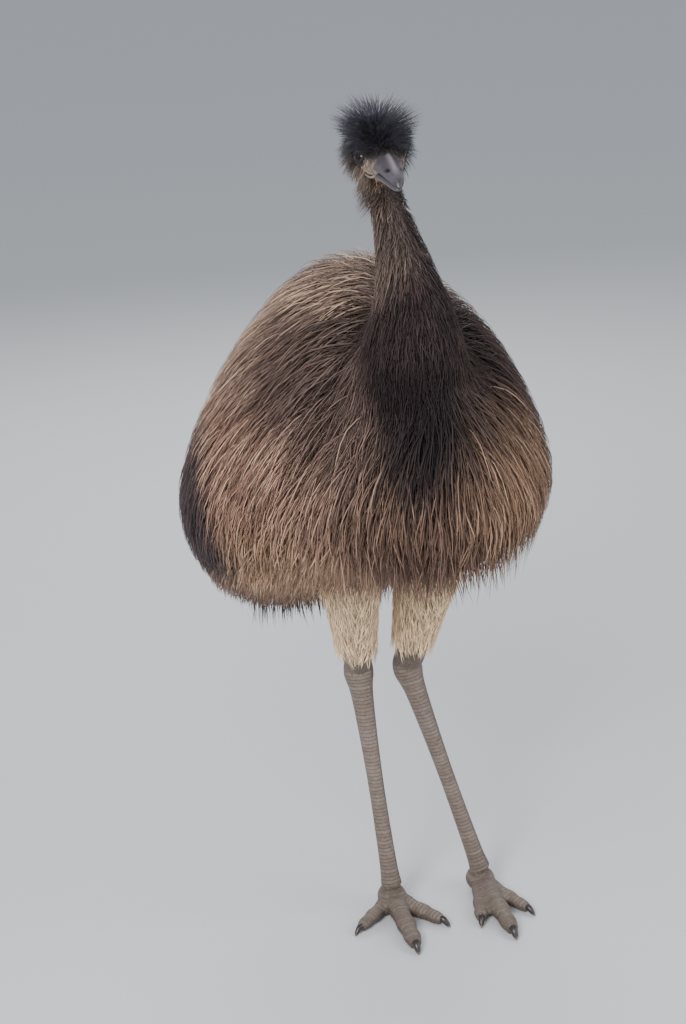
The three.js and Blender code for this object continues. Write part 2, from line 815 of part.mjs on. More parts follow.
function clawLimb(leg, name) {
  const girth = TOE_GIRTH[name];
  const tip = leg.toes[name];
  const along = tip.clone().sub(leg.ankle).setZ(0).normalize();
  const place = (back, z) => tip.clone().addScaledVector(along, -back).setZ(z);
  return new Limb([
    ...CLAW_ROWS.map(([share, height, wide, deep]) => (
      rowAt(place(CLAW_LENGTH * share, girth * height), girth * wide, girth * deep)
    )),
    rowAt(place(0, 0.9), 1, 1.2), // the blunt tip, just over the floor
  ], vec(-along.y, along.x, 0));
}

// Materials, one for each kind of surface

const MATERIALS = {
  back: new THREE.MeshStandardMaterial({ color: 0x5b4c3f, roughness: 0.9, metalness: 0 }),
  bib: new THREE.MeshStandardMaterial({ color: 0x2b2226, roughness: 0.9, metalness: 0 }),
  crown: new THREE.MeshStandardMaterial({ color: 0x23262f, roughness: 0.85, metalness: 0 }),
  cream: new THREE.MeshStandardMaterial({ color: 0xc9b184, roughness: 0.9, metalness: 0 }),
  neckSkin: new THREE.MeshStandardMaterial({ color: 0x6b5a52, roughness: 0.8, metalness: 0 }),
  legSkin: new THREE.MeshStandardMaterial({ color: 0x6e625c, roughness: 0.7, metalness: 0 }),
  bill: new THREE.MeshStandardMaterial({ color: 0x5d565f, roughness: 0.45, metalness: 0 }),
  claw: new THREE.MeshStandardMaterial({ color: 0x2e2a28, roughness: 0.4, metalness: 0 }),
  eye: new THREE.MeshStandardMaterial({ color: 0x1a0f0a, roughness: 0.08, metalness: 0 }),
};

// Put the pieces together

const figure = new THREE.Group();
const headGroup = new THREE.Group();
headFrame.decompose(headGroup.position, headGroup.quaternion, headGroup.scale);
figure.add(headGroup);

function addNode(parent, name, material, solid) {
  const mesh = new THREE.Mesh(toGeometry(keepLargest(solid)), material);
  mesh.name = name;
  parent.add(mesh);
}

const SIDES = { left: 1, right: -1 };
const thighForms = { left: thighLimb(LEGS.left), right: thighLimb(LEGS.right) };
const wingForms = { left: wingLimb(SIDES.left), right: wingLimb(SIDES.right) };
const wingCore = (side, grow = 0) => wingForms[side].solid(0, 1, ...FINENESS.wing, grow);
const thighCore = (side, grow = 0) => thighForms[side].solid(0, 1, ...FINENESS.thigh, grow);

// Head and neck: each coat falls over the piece below it
const crest = crestLocks();
const upperNeck = neckLocks(UPPER_NECK_COAT, 41);
const lowerNeck = neckLocks(LOWER_NECK_COAT, 42);
const headCutters = [toHead(upperNeckCore(COAT_GAP)), eyeBall(1, COAT_GAP), eyeBall(-1, COAT_GAP)];
addNode(headGroup, 'head', MATERIALS.crown, feathered(faceSolid(), crest, headCutters));
addNode(headGroup, 'bill_upper', MATERIALS.bill, upperBillSolid());
addNode(headGroup, 'bill_lower', MATERIALS.bill, lowerBillSolid());
for (const side of Object.keys(SIDES)) {
  addNode(headGroup, `eye_${side}`, MATERIALS.eye, eyeBall(SIDES[side]));
}

const throat = upperNeckCore().subtract(fromHead(faceSolid(GAP)));
const upperNeckCutters = [
  fromHead(faceSolid(COAT_GAP)),
  ...grown(crest).map(fromHead),
  lowerNeckCore(COAT_GAP),
];
addNode(figure, 'neck_upper', MATERIALS.neckSkin, feathered(throat, upperNeck, upperNeckCutters));
const breast = lowerNeckCore().subtract(bodySolid(GAP));
const lowerNeckCutters = [...grown(upperNeck), upperNeckCore(COAT_GAP), bodySolid(COAT_GAP)];
addNode(figure, 'neck_lower', MATERIALS.bib, feathered(breast, lowerNeck, lowerNeckCutters));

// Body, wings and tail
const torsoLocks = bodyLocks(TORSO_COAT);
const rumpLocks = bodyLocks(RUMP_COAT);
const tailLocks = bodyLocks(TAIL_COAT);
const wingLocksOf = { left: wingLocks(1, wingForms.left), right: wingLocks(-1, wingForms.right) };
const limbs = (grow) => Object.keys(SIDES).flatMap((side) => [thighCore(side, grow), wingCore(side, grow)]);
const limbHoles = join(limbs(GAP));
const overBody = [...limbs(COAT_GAP), ...grown(wingLocksOf.left), ...grown(wingLocksOf.right)];
const { far } = BIRD_ROOM;
const torsoCutters = [
  ...overBody,
  ...grown(lowerNeck),
  lowerNeckCore(COAT_GAP),
  bodyCore(RUMP_CUT_Y, far, COAT_GAP),
];
const torsoCore = bodyCore(-far, RUMP_CUT_Y).subtract(limbHoles);
addNode(figure, 'torso', MATERIALS.back, feathered(torsoCore, torsoLocks, torsoCutters));
const rumpCutters = [
  ...overBody,
  ...grown(torsoLocks),
  bodyCore(-far, RUMP_CUT_Y, COAT_GAP),
  bodyCore(TAIL_CUT_Y, far, COAT_GAP),
];
const rumpCore = bodyCore(RUMP_CUT_Y, TAIL_CUT_Y).subtract(limbHoles);
addNode(figure, 'rump', MATERIALS.back, feathered(rumpCore, rumpLocks, rumpCutters));
const tailCutters = [...grown(torsoLocks), ...grown(rumpLocks), bodyCore(-far, TAIL_CUT_Y, COAT_GAP)];
addNode(figure, 'tail', MATERIALS.back, feathered(bodyCore(TAIL_CUT_Y, far), tailLocks, tailCutters));
const wingCutters = [bodySolid(COAT_GAP)];
for (const side of Object.keys(SIDES)) {
  addNode(figure, `wing_${side}`, MATERIALS.back, feathered(wingCore(side), wingLocksOf[side], wingCutters));
}

// Legs
const overThighs = [...grown(torsoLocks), ...grown(rumpLocks), bodySolid(COAT_GAP)];

function addLeg(side, leg, seed) {
  const shank = (grow) => shankLimb(leg).solid(0, 1, ...FINENESS.shank, grow);
  const otherThigh = thighCore(side === 'left' ? 'right' : 'left', COAT_GAP);
  const thighCutters = [...overThighs, shank(COAT_GAP), otherThigh];
  const flesh = thighCore(side).subtract(shank(GAP));
  const thigh = feathered(flesh, thighLocks(thighForms[side], seed), thighCutters);
  addNode(figure, `thigh_${side}`, MATERIALS.cream, thigh);
  addNode(figure, `shank_${side}`, MATERIALS.legSkin, shank(0).subtract(padSolid(leg, GAP)));
  addNode(figure, `foot_${side}`, MATERIALS.legSkin, padSolid(leg));
  const middleToe = toeSolid(leg, 'middle', GAP);
  for (const name of Object.keys(leg.toes)) {
    const claw = (grow) => clawLimb(leg, name).solid(0, 1, ...FINENESS.claw, grow);
    let toe = toeSolid(leg, name).subtract(shank(GAP)).subtract(padSolid(leg, GAP)).subtract(claw(GAP));
    if (name !== 'middle') toe = toe.subtract(middleToe);
    addNode(figure, `toe_${name}_${side}`, MATERIALS.legSkin, toe);
    addNode(figure, `claw_${name}_${side}`, MATERIALS.claw, claw(0).subtract(underFloor()));
  }
}

addLeg('right', LEGS.right, 51);
addLeg('left', LEGS.left, 52);

// The origin is on the floor, at the middle of the box round the whole bird.
const bounds = new THREE.Box3().setFromObject(figure, true);
figure.position.set(-(bounds.min.x + bounds.max.x) / 2, -(bounds.min.y + bounds.max.y) / 2, -bounds.min.z);

export default figure;
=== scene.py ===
"""Looks of the life-size emu model, standing in the pose of the photo."""
import logging
import math
from dataclasses import dataclass, field
from enum import Enum

import bpy
import numpy as np
from mathutils import Euler, Matrix, Vector
from mathutils.kdtree import KDTree


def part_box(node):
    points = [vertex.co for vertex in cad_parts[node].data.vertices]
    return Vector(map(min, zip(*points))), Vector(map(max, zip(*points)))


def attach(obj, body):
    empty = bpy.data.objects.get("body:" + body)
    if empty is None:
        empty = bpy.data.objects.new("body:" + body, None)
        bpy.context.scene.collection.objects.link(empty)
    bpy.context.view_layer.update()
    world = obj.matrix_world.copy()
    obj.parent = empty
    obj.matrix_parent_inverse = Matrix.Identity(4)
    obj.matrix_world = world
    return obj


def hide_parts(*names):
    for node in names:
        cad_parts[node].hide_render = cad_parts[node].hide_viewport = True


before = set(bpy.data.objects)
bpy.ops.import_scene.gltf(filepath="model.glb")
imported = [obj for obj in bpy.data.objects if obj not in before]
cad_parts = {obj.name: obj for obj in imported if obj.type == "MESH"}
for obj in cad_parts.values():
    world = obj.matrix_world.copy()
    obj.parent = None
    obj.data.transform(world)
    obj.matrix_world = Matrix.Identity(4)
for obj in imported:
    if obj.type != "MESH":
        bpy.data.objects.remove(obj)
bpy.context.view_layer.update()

LOG = logging.getLogger("emu")
Array = np.ndarray
Socket = bpy.types.NodeSocket
Thing = bpy.types.Object

# Driving sizes, in the tables' millimetres unless said otherwise
MM = 0.001
BODY_MIDDLE_X = 8.0
BODY_PEAKS = (1.4, 0.82)  # how pointed the back is, and how full the skirt
SKIN_DEPTH = 33.0  # from the body's outline to the skin
NECK_COAT = 9.0
SKIN_VOXEL = 0.003  # metres
SKIN_SMOOTHING = 6
PAD_MIDDLE = Vector((28.0, 75.0, 0.0))  # the right foot's place in the tables

# Body rows: y, middle z, half width, rise, drop
BODY_ROWS = np.array([
    [-350, 818, 8, 8, 8], [-345, 815, 48, 54, 48], [-325, 812, 95, 115, 78], [-265, 802, 143, 210, 96],
    [-180, 795, 194, 288, 108], [-80, 787, 236, 326, 152], [40, 762, 267, 342, 184],
    [160, 726, 264, 352, 202], [265, 692, 234, 325, 207], [345, 650, 198, 268, 200],
    [400, 610, 150, 205, 165], [425, 594, 80, 118, 116], [432, 592, 12, 14, 14],
], float)
# Neck rows: x, y, z, half across, half deep
NECK_ROWS = np.array([
    [-5, -120, 812, 70, 70], [-5, -140, 902, 92, 97], [-10, -178, 977, 80, 84], [-12, -190, 1047, 62, 66],
    [-13, -178, 1104, 44, 47], [-15, -150, 1162, 31, 34], [-18, -124, 1207, 27, 29],
    [-21, -106, 1247, 24, 26],
], float)
HEAD_PLACE = Vector((-25, -122, 1265))
HEAD_TURN = Euler((0.03, 0.06, -0.12))
HEAD_FRAME = Matrix.Translation(HEAD_PLACE) @ HEAD_TURN.to_matrix().to_4x4()
# Skull and bill rows in the head's frame: y, middle z, half width, rise, drop
SKULL_ROWS = np.array([
    [47, 2, 3, 3, 3], [45, 2, 13, 11, 14], [40, 2, 20, 17, 22], [30, 3, 27.5, 24, 30], [11, 4, 32, 28, 33],
    [-10, 3, 32, 27.5, 33], [-28, -1, 27, 22.5, 29], [-43, -7, 21, 17, 22], [-52, -9, 18, 14, 18],
    [-54, -9, 4, 3, 4],
], float)
UPPER_BILL_ROWS = np.array([
    [-41, -11, 20, 17, 5], [-57, -12, 18, 15, 4.5], [-73, -14.5, 14.5, 12.5, 4], [-90, -18, 11, 10, 3.5],
    [-102, -21, 7, 7.5, 3.5], [-108, -23.5, 3.5, 4.5, 3], [-110, -24.5, 0.8, 1, 1],
], float)
LOWER_BILL_ROWS = np.array([
    [-41, -22, 17, 4.5, 7.5], [-62, -23, 14, 4, 7], [-82, -25.5, 10, 3.5, 6], [-97, -28, 6, 2.5, 4.5],
    [-103, -29.3, 2.6, 1.5, 2.3], [-104.5, -29.5, 0.6, 0.5, 0.6],
], float)
# The mouth's corner on the face: y, and the angle round the skull
GAPE_ROWS = np.array([[-54, -0.60], [-43, -0.66], [-28, -0.80], [-12, -0.84]])
EYE_PLACE = np.array([24.0, -18.0, -2.0])
EYE_RADIUS = 11.0
EYE_GAZE = np.array([0.9, -0.42, 0.05])

# Leg rows: share of the way from joint to joint, half across, half deep
THIGH_ROWS = ((0.0, 48, 80), (0.3, 35, 62), (0.6, 28, 41), (0.86, 23, 29))
SHANK_ROWS = ((0.0, 23.5, 27.5), (0.12, 17, 21), (0.5, 12.5, 16), (0.88, 14, 16), (1.0, 17.5, 17))
# Toe rows: share of the toe's length, then middle height, half across and half deep in girths
TOE_ROWS = (
    (0.3, 1.0, 1.0, 1.0), (0.45, 0.86, 0.86, 0.86), (0.62, 0.84, 0.96, 0.84), (0.74, 0.74, 0.78, 0.74),
    (0.86, 0.7, 0.84, 0.7), (1.0, 0.62, 0.56, 0.6),
)
TOE_GIRTH = {"inner": 14.5, "middle": 17.0, "outer": 13.5}
CLAW_LENGTH = 26.0
TOE_ROOT_HEIGHT = 19.0
PAD_HEIGHT = 20.0
PAD_RADII = (24, 29, 19.5)


def foot_shift() -> Array:
    """Finds how far the tables' origin lies from the frame's.

    Returns:
        The shift to add to a table's place, in metres.
    """
    low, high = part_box("foot_right")
    middle = (low + high) / 2
    return np.array(Vector((middle.x, middle.y, 0)) - PAD_MIDDLE * MM)


SHIFT = foot_shift()


def placed(points: Array) -> Array:
    """Turns table places in millimetres into frame places in metres.

    Args:
        points: Places, the last axis x, y, z.

    Returns:
        The same places in the frame.
    """
    return np.asarray(points, float) * MM + SHIFT


def from_head(points: Array) -> Array:
    """Moves places from the head's frame to the tables' frame.

    Args:
        points: Places in the head's frame.

    Returns:
        The places in the tables' frame.
    """
    return np.asarray(points, float) @ np.array(HEAD_FRAME.to_3x3()).T + np.array(HEAD_PLACE)


def read_rows(rows: Array, column: int, places: Array) -> Array:
    """Reads one column of a table smoothly at places in its first column.

    Args:
        rows: The table, its first column rising or falling.
        column: Which column to read.
        places: Values in the first column.

    Returns:
        The column's values at the places.
    """
    key, value = rows[:, 0], rows[:, column]
    if key[-1] < key[0]:
        key, value = key[::-1], value[::-1]
    slope = np.gradient(value, key)
    slope[1:-1] = (value[2:] - value[:-2]) / (key[2:] - key[:-2])
    k = np.clip(np.searchsorted(key, places) - 1, 0, len(key) - 2)
    span = key[k + 1] - key[k]
    t = np.clip((places - key[k]) / span, 0, 1)
    return (
        (2 * t**3 - 3 * t**2 + 1) * value[k] + (t**3 - 2 * t**2 + t) * span * slope[k]
        + (3 * t**2 - 2 * t**3) * value[k + 1] + (t**3 - t**2) * span * slope[k + 1]
    )


def spline(rows: Array, places: Array) -> Array:
    """Reads a smooth line through evenly spaced rows.

    Args:
        rows: One row for each knot.
        places: Places from 0 at the first row to 1 at the last.

    Returns:
        The rows at those places.
    """
    padded = np.vstack([2 * rows[0] - rows[1], rows, 2 * rows[-1] - rows[-2]])
    s = np.clip(places, 0, 1) * (len(rows) - 1)
    k = np.clip(s.astype(int), 0, len(rows) - 2)
    t = (s - k)[:, None]
    a, b, c, d = (padded[k + i] for i in range(4))
    return 0.5 * (2 * b + (c - a) * t + (2 * a - 5 * b + 4 * c - d) * t**2 + (3 * b - a - 3 * c + d) * t**3)


def unit(vectors: Array) -> Array:
    """Scales vectors to length one.

    Args:
        vectors: The vectors, along the last axis.

    Returns:
        The unit vectors.
    """
    return vectors / np.maximum(np.linalg.norm(vectors, axis=-1, keepdims=True), 1e-9)


def smooth(values: Array, low: float, high: float) -> Array:
    """Eases from 0 at low to 1 at high.

    Args:
        values: Values to ease.
        low: Where the result is 0.
        high: Where the result is 1.

    Returns:
        Shares from 0 to 1.
    """
    t = np.clip((values - low) / (high - low), 0, 1)
    return t * t * (3 - 2 * t)


# Building meshes


class Ends(Enum):
    """What a tube's ends are like."""

    OPEN = 0
    CAPPED = 1
    JOINED = 2


@dataclass
class Shape:
    """Points and faces of a mesh under construction."""

    points: list[Array] = field(default_factory=list)
    faces: list[tuple] = field(default_factory=list)
    count: int = 0

    def add_rings(self, rings: Array, ends: Ends = Ends.CAPPED) -> None:
        """Adds a tube through rings of equal count.

        Args:
            rings: Array of ring, point round, x y z.
            ends: Whether both ends stay open, get a middle point and a fan, or join each other.
        """
        ring_count, round_count, _ = rings.shape
        start = self.count
        self.points.append(rings.reshape(-1, 3))
        self.count += ring_count * round_count
        for i in range(ring_count if ends is Ends.JOINED else ring_count - 1):
            low, high = start + i * round_count, start + (i + 1) % ring_count * round_count
            for k in range(round_count):
                after = (k + 1) % round_count
                self.faces.append((low + k, low + after, high + after, high + k))
        if ends is Ends.CAPPED:
            self.cap(rings[0], start, -1)
            self.cap(rings[-1], start + (ring_count - 1) * round_count, 1)

    def cap(self, ring: Array, first: int, turn: int) -> None:
        """Closes one ring with a fan round its middle.

        Args:
            ring: The ring's points.
            first: The number of its first point.
            turn: 1 or -1, the way the fan's faces run.
        """
        self.points.append(ring.mean(axis=0)[None])
        for k in range(len(ring)):
            pair = (first + k, first + (k + 1) % len(ring))
            self.faces.append((*pair[::turn], self.count))
        self.count += 1

    def to_object(self, name: str) -> Thing:
        """Makes the mesh object.

        Args:
            name: The object's name.

        Returns:
            The new object, linked to the scene.
        """
        mesh = bpy.data.meshes.new(name)
        mesh.from_pydata(np.vstack(self.points).tolist(), [], self.faces)
        mesh.update()
        return linked(name, mesh)


def linked(name: str, data: bpy.types.ID) -> Thing:
    """Puts a mesh, lamp or camera into the scene as an object.

    Args:
        name: The object's name.
        data: What it shows.

    Returns:
        The new object.
    """
    thing = bpy.data.objects.new(name, data)
    bpy.context.scene.collection.objects.link(thing)
    return thing


def frozen(thing: Thing) -> Thing:
    """Replaces an object's mesh by what its modifiers make of it.

    Args:
        thing: The object.

    Returns:
        The same object, without modifiers.
    """
    graph = bpy.context.evaluated_depsgraph_get()
    shown = thing.evaluated_get(graph)
    mesh = bpy.data.meshes.new_from_object(shown, preserve_all_data_layers=True, depsgraph=graph)
    thing.modifiers.clear()
    thing.data = mesh
    mesh.name = thing.name
    return thing


def store(mesh: bpy.types.Mesh, name: str, values: Array) -> None:
    """Stores a number or a vector for each point of a mesh.

    Args:
        mesh: The mesh.
        name: The attribute's name.
        values: One number or one row for each point.
    """
    kind, field = ("FLOAT", "value") if values.ndim == 1 else ("FLOAT_VECTOR", "vector")
    attribute = mesh.attributes.new(name, kind, "POINT")
    attribute.data.foreach_set(field, np.ascontiguousarray(values, np.float32).ravel())


@dataclass(frozen=True)
class Hull:
    """A form along Y, with rings read from rows of y, middle z, half width, rise, drop."""

    rows: Array
    middle_x: float = 0.0
    peaks: tuple = (1.0, 1.0)  # the powers of its upper and lower outline

    def inset(self, depth: float) -> "Hull":
        """Draws the form in all round.

        Args:
            depth: How far.

        Returns:
            The smaller form.
        """
        rows = self.rows.copy()
        first, last = rows[0, 0], rows[-1, 0]
        middle = (first + last) / 2
        rows[:, 0] = middle + (rows[:, 0] - middle) * (1 - 2 * depth / abs(last - first))
        rows[:, 2:] = np.maximum(rows[:, 2:] - depth, rows[:, 2:] * 0.4)
        return Hull(rows, self.middle_x, self.peaks)

    def rings(self, ring_count: int, round_count: int) -> Array:
        """Places rings of points from end to end.

        Args:
            ring_count: How many rings.
            round_count: How many points in each.

        Returns:
            Array of ring, point round, x y z.
        """
        ease = 0.5 - 0.5 * np.cos(np.pi * np.arange(ring_count) / (ring_count - 1))
        y = self.rows[0, 0] + (self.rows[-1, 0] - self.rows[0, 0]) * ease
        middle, wide, high, deep = (read_rows(self.rows, column, y)[:, None] for column in range(1, 5))
        angle = 2 * np.pi * np.arange(round_count) / round_count
        across, up = np.cos(angle)[None], np.sin(angle)[None]
        power = np.where(up > 0, *self.peaks)
        x = self.middle_x + wide * np.sign(across) * np.abs(across) ** power
        z = middle + np.where(up > 0, high, deep) * np.sign(up) * np.abs(up) ** power
        return np.stack([x, np.broadcast_to(y[:, None], x.shape), z], axis=-1)


@dataclass(frozen=True)
class Limb:
    """A form swept along a smooth line through rows of x, y, z, half across, half deep."""

    rows: list | Array
    across: tuple = (1.0, 0.0, 0.0)

    def rings(self, ring_count: int, round_count: int) -> Array:
        """Places rings of points from end to end.

        Args:
            ring_count: How many rings.
            round_count: How many points in each.

        Returns:
            Array of ring, point round, x y z.
        """
        table = np.array(self.rows, float)
        t = np.linspace(0, 1, ring_count)
        rows = spline(table, t)
        along = unit(spline(table, t + 0.01)[:, :3] - spline(table, t - 0.01)[:, :3])
        deep = unit(np.cross(along, np.array(self.across, float)))
        wide = np.cross(deep, along)
        angle = 2 * np.pi * np.arange(round_count) / round_count
        return (
            rows[:, None, :3]
            + wide[:, None] * (rows[:, 3, None] * np.cos(angle))[..., None]
            + deep[:, None] * (rows[:, 4, None] * np.sin(angle))[..., None]
        )


def joint_rows(start: tuple, end: tuple, table: tuple) -> list:
    """Makes a limb's rows from joint to joint.

    Args:
        start: First joint.
        end: Second joint.
        table: For each row the share of the way, half across and half deep.

    Returns:
        The rows.
    """
    first, last = np.array(start, float), np.array(end, float)
    return [[*(first * (1 - share) + last * share), wide, deep] for share, wide, deep in table]


@dataclass(frozen=True)
class Leg:
    """One leg: the places of its joints and toe tips, and its forms under feathers and scales."""

    hip: tuple
    hock: tuple
    ankle: tuple
    toes: dict

    def thigh(self) -> Limb:
        """Makes the thigh's form down to the hock.

        Returns:
            The form.
        """
        end = [*(np.array(self.hock) + (0, 0, 22)), 21, 25]
        return Limb([*joint_rows(self.hip, self.hock, THIGH_ROWS), end])

    def shank(self) -> Limb:
        """Makes the shank's form from inside the thigh to the ankle.

        Returns:
            The form.
        """
        start = [*(np.array(self.hock) + (0, -3, 30)), 19, 22]
        return Limb([start, *joint_rows(self.hock, self.ankle, SHANK_ROWS)])

    def toe(self, name: str) -> Limb:
        """Makes a toe's form from the ankle's pad to its claw.

        Args:
            name: Which toe.

        Returns:
            The form.
        """
        girth = TOE_GIRTH[name]
        root = np.array(self.ankle[:2], float)
        run = np.array(self.toes[name]) - root
        along = unit(run)
        length = np.linalg.norm(run) - CLAW_LENGTH * 0.6
        table = ((0.1, TOE_ROOT_HEIGHT / girth, 1.0, 1.0), *TOE_ROWS)
        rows = [[*(root + along * length * share), *(girth * np.array(part))] for share, *part in table]
        return Limb(rows, (-along[1], along[0], 0))

    def pad(self, ring_count: int, round_count: int) -> Array:
        """Places rings over the pad under the ankle, turned the way of the middle toe.

        Args:
            ring_count: How many rings.
            round_count: How many points in each.

        Returns:
            Array of ring, point round, x y z.
        """
        front = np.array(self.toes["middle"]) - np.array(self.ankle[:2])
        turn = math.atan2(front[1], front[0]) + math.pi / 2
        tilt = np.linspace(-0.5, 0.5, ring_count + 2)[1:-1, None] * np.pi
        angle = 2 * np.pi * np.arange(round_count) / round_count
        x = PAD_RADII[0] * np.cos(tilt) * np.cos(angle)
        y = PAD_RADII[1] * np.cos(tilt) * np.sin(angle)
        z = np.broadcast_to(PAD_RADII[2] * np.sin(tilt), x.shape)
        turned = [x * math.cos(turn) - y * math.sin(turn), x * math.sin(turn) + y * math.cos(turn), z]
        return np.stack(turned, axis=-1) + np.array((*self.ankle[:2], PAD_HEIGHT))


LEGS = {
    "right": Leg((-40, 34, 672), (9, 132, 402), (28, 75, 40),
                 {"inner": (88, -23), "middle": (12, -73), "outer": (-60, 18)}),
    "left": Leg((98, 24, 672), (92, 130, 392), (180, 62, 40),
                {"inner": (132, -46), "middle": (168, -100), "outer": (225, -50)}),
}


# Building node trees

VECTOR = "FLOAT_VECTOR"


@dataclass
class Tree:
    """A node tree under construction."""

    tree: bpy.types.NodeTree

    def add(self, kind: str, sockets: dict | None = None, **settings: object) -> bpy.types.Node:
        """Adds a node, sets it and feeds its sockets.

        Args:
            kind: The node's type name.
            sockets: For each socket's name or number, a value or another node's output.
            **settings: The node's own properties.

        Returns:
            The node.
        """
        node = self.tree.nodes.new(kind)
        for key, value in settings.items():
            setattr(node, key, value)
        self.feed(node, sockets or {})
        return node

    def feed(self, node: bpy.types.Node, sockets: dict) -> None:
        """Feeds a node's sockets with values or other nodes' outputs.

        Args:
            node: The node.
            sockets: For each socket's name or number, a plain value or an output socket.
        """
        for key, value in sockets.items():
            if isinstance(value, Socket):
                self.tree.links.new(value, node.inputs[key])
            else:
                node.inputs[key].default_value = value

    def math(self, operation: str, *values: object) -> Socket:
        """Adds a sum on numbers, from left to right where there are more than two.

        Args:
            operation: Which sum.
            *values: Its values.

        Returns:
            The result.
        """
        first, rest = values[:2], values[2:]
        result = self.add("ShaderNodeMath", dict(enumerate(first)), operation=operation).outputs[0]
        return self.math(operation, result, *rest) if rest else result

    def vector(self, operation: str, *values: object) -> Socket:
        """Adds a sum on vectors, from left to right where there are more than two.

        Args:
            operation: Which sum.
            *values: Its vectors.

        Returns:
            The result, a number for LENGTH.
        """
        first, rest = values[:2], values[2:]
        node = self.add("ShaderNodeVectorMath", dict(enumerate(first)), operation=operation)
        result = node.outputs["Value" if operation == "LENGTH" else "Vector"]
        return self.vector(operation, result, *rest) if rest else result

    def scaled(self, vector: object, number: object) -> Socket:
        """Scales a vector or a colour.

        Args:
            vector: The vector.
            number: By how much.

        Returns:
            The scaled vector.
        """
        return self.add("ShaderNodeVectorMath", {0: vector, "Scale": number}, operation="SCALE").outputs[0]

    def eased(
        self, value: object, low: float, high: float, start: float = 0.0, end: float = 1.0
    ) -> Socket:
        """Eases a number between two limits.

        Args:
            value: The number.
            low: Where the result is start.
            high: Where the result is end.
            start: First result.
            end: Last result.

        Returns:
            The eased number.
        """
        sockets = {0: value, 1: low, 2: high, 3: start, 4: end}
        return self.add("ShaderNodeMapRange", sockets, interpolation_type="SMOOTHSTEP").outputs[0]

    def mix(self, share: object, first: object, second: object, kind: str) -> Socket:
        """Mixes two values.

        Args:
            share: 0 for the first, 1 for the second.
            first: First value.
            second: Second value.
            kind: VECTOR, RGBA or FLOAT.

        Returns:
            The mix.
        """
        low = {"FLOAT": 2, "VECTOR": 4, "RGBA": 6}[kind]
        node = self.add("ShaderNodeMix", {0: share, low: first, low + 1: second}, data_type=kind)
        return node.outputs[low // 2 - 1]

    def noise(self, place: object, scale: float, detail: float) -> Socket:
        """Adds soft noise.

        Args:
            place: Where it is read.
            scale: How many waves a metre has.
            detail: How fine it goes.

        Returns:
            The noise, mostly from 0.3 to 0.7.
        """
        return self.add("ShaderNodeTexNoise", {"Vector": place, "Scale": scale, "Detail": detail}).outputs[0]


def shade(red: int, green: int, blue: int) -> tuple:
    """Turns a colour as seen on a screen into scene values.

    Args:
        red: 0 to 255.
        green: 0 to 255.
        blue: 0 to 255.

    Returns:
        The colour with its alpha.
    """
    shares = (value / 255 for value in (red, green, blue))
    parts = (share / 12.92 if share <= 0.04045 else ((share + 0.055) / 1.055) ** 2.4 for share in shares)
    return (*parts, 1.0)


# The plumage's markings, shared by the skin and the coat. They lie higher and further forward than they
# show, because a strand keeps the colour of its root. Each has its middle, half sizes, colour and softness.
PLUMAGE_BASE = shade(128, 104, 91)
PLUMAGE_LEVEL = (0.72, 0.69, 0.665)  # brings all markings to the light's strength
MARKINGS = (
    # Back, right shoulder and right flank
    ((-60, 100, 1020), (260, 360, 130), (150, 128, 115), 0.45),
    ((-130, -110, 930), (120, 150, 110), (138, 114, 104), 0.4),
    ((-85, -110, 1000), (60, 120, 90), (100, 82, 77), 0.4),
    ((-220, -60, 830), (150, 200, 120), (168, 134, 117), 0.4),
    # Low on the right flank: paler, partly the plumage's own gold, partly painted light standing in for light
    # thrown up from the floor
    ((-180, -140, 700), (160, 240, 110), (176, 143, 116), 0.45),
    # Belly and breast
    ((60, -240, 720), (170, 220, 80), (136, 110, 92), 0.45),
    ((-10, -280, 820), (110, 120, 80), (112, 88, 76), 0.45),
    # Left flank and shoulder
    ((220, -20, 900), (170, 270, 210), (80, 67, 64), 0.4),
    ((70, -230, 990), (90, 150, 130), (70, 56, 53), 0.4),
    ((85, -260, 880), (80, 130, 80), (152, 122, 100), 0.45),
    ((215, -110, 735), (110, 200, 110), (92, 74, 65), 0.45),
    # Rump and tail
    ((-265, 95, 805), (108, 130, 200), (78, 66, 69), 0.3),
    ((-60, 430, 650), (290, 150, 330), (80, 66, 67), 0.3),
    # Bib and neck
    ((-32, -250, 1030), (50, 120, 110), (38, 27, 30), 0.3),
    ((-26, -300, 960), (38, 110, 62), (42, 31, 35), 0.35),
    ((-30, -200, 1085), (75, 90, 60), (56, 42, 43), 0.35),
    ((-32, -150, 1185), (60, 80, 85), (100, 86, 80), 0.3),
    ((18, -140, 1150), (30, 90, 120), (54, 44, 44), 0.4),
    # Head: skull, crown, right cheek, lores and chin
    ((-25, -112, 1262), (70, 70, 48), (74, 67, 68), 0.2),
    ((-25, -104, 1294), (70, 66, 40), (52, 52, 60), 0.3),
    ((-60, -118, 1238), (30, 44, 28), (112, 101, 95), 0.4),
    ((-50, -156, 1248), (22, 24, 15), (166, 150, 137), 0.35),
    ((-6, -158, 1248), (22, 24, 15), (166, 150, 137), 0.35),
    ((-30, -150, 1232), (28, 24, 9), (142, 126, 106), 0.35),
    # Thighs
    ((40, 90, 515), (130, 90, 75), (228, 204, 176), 0.3),
)


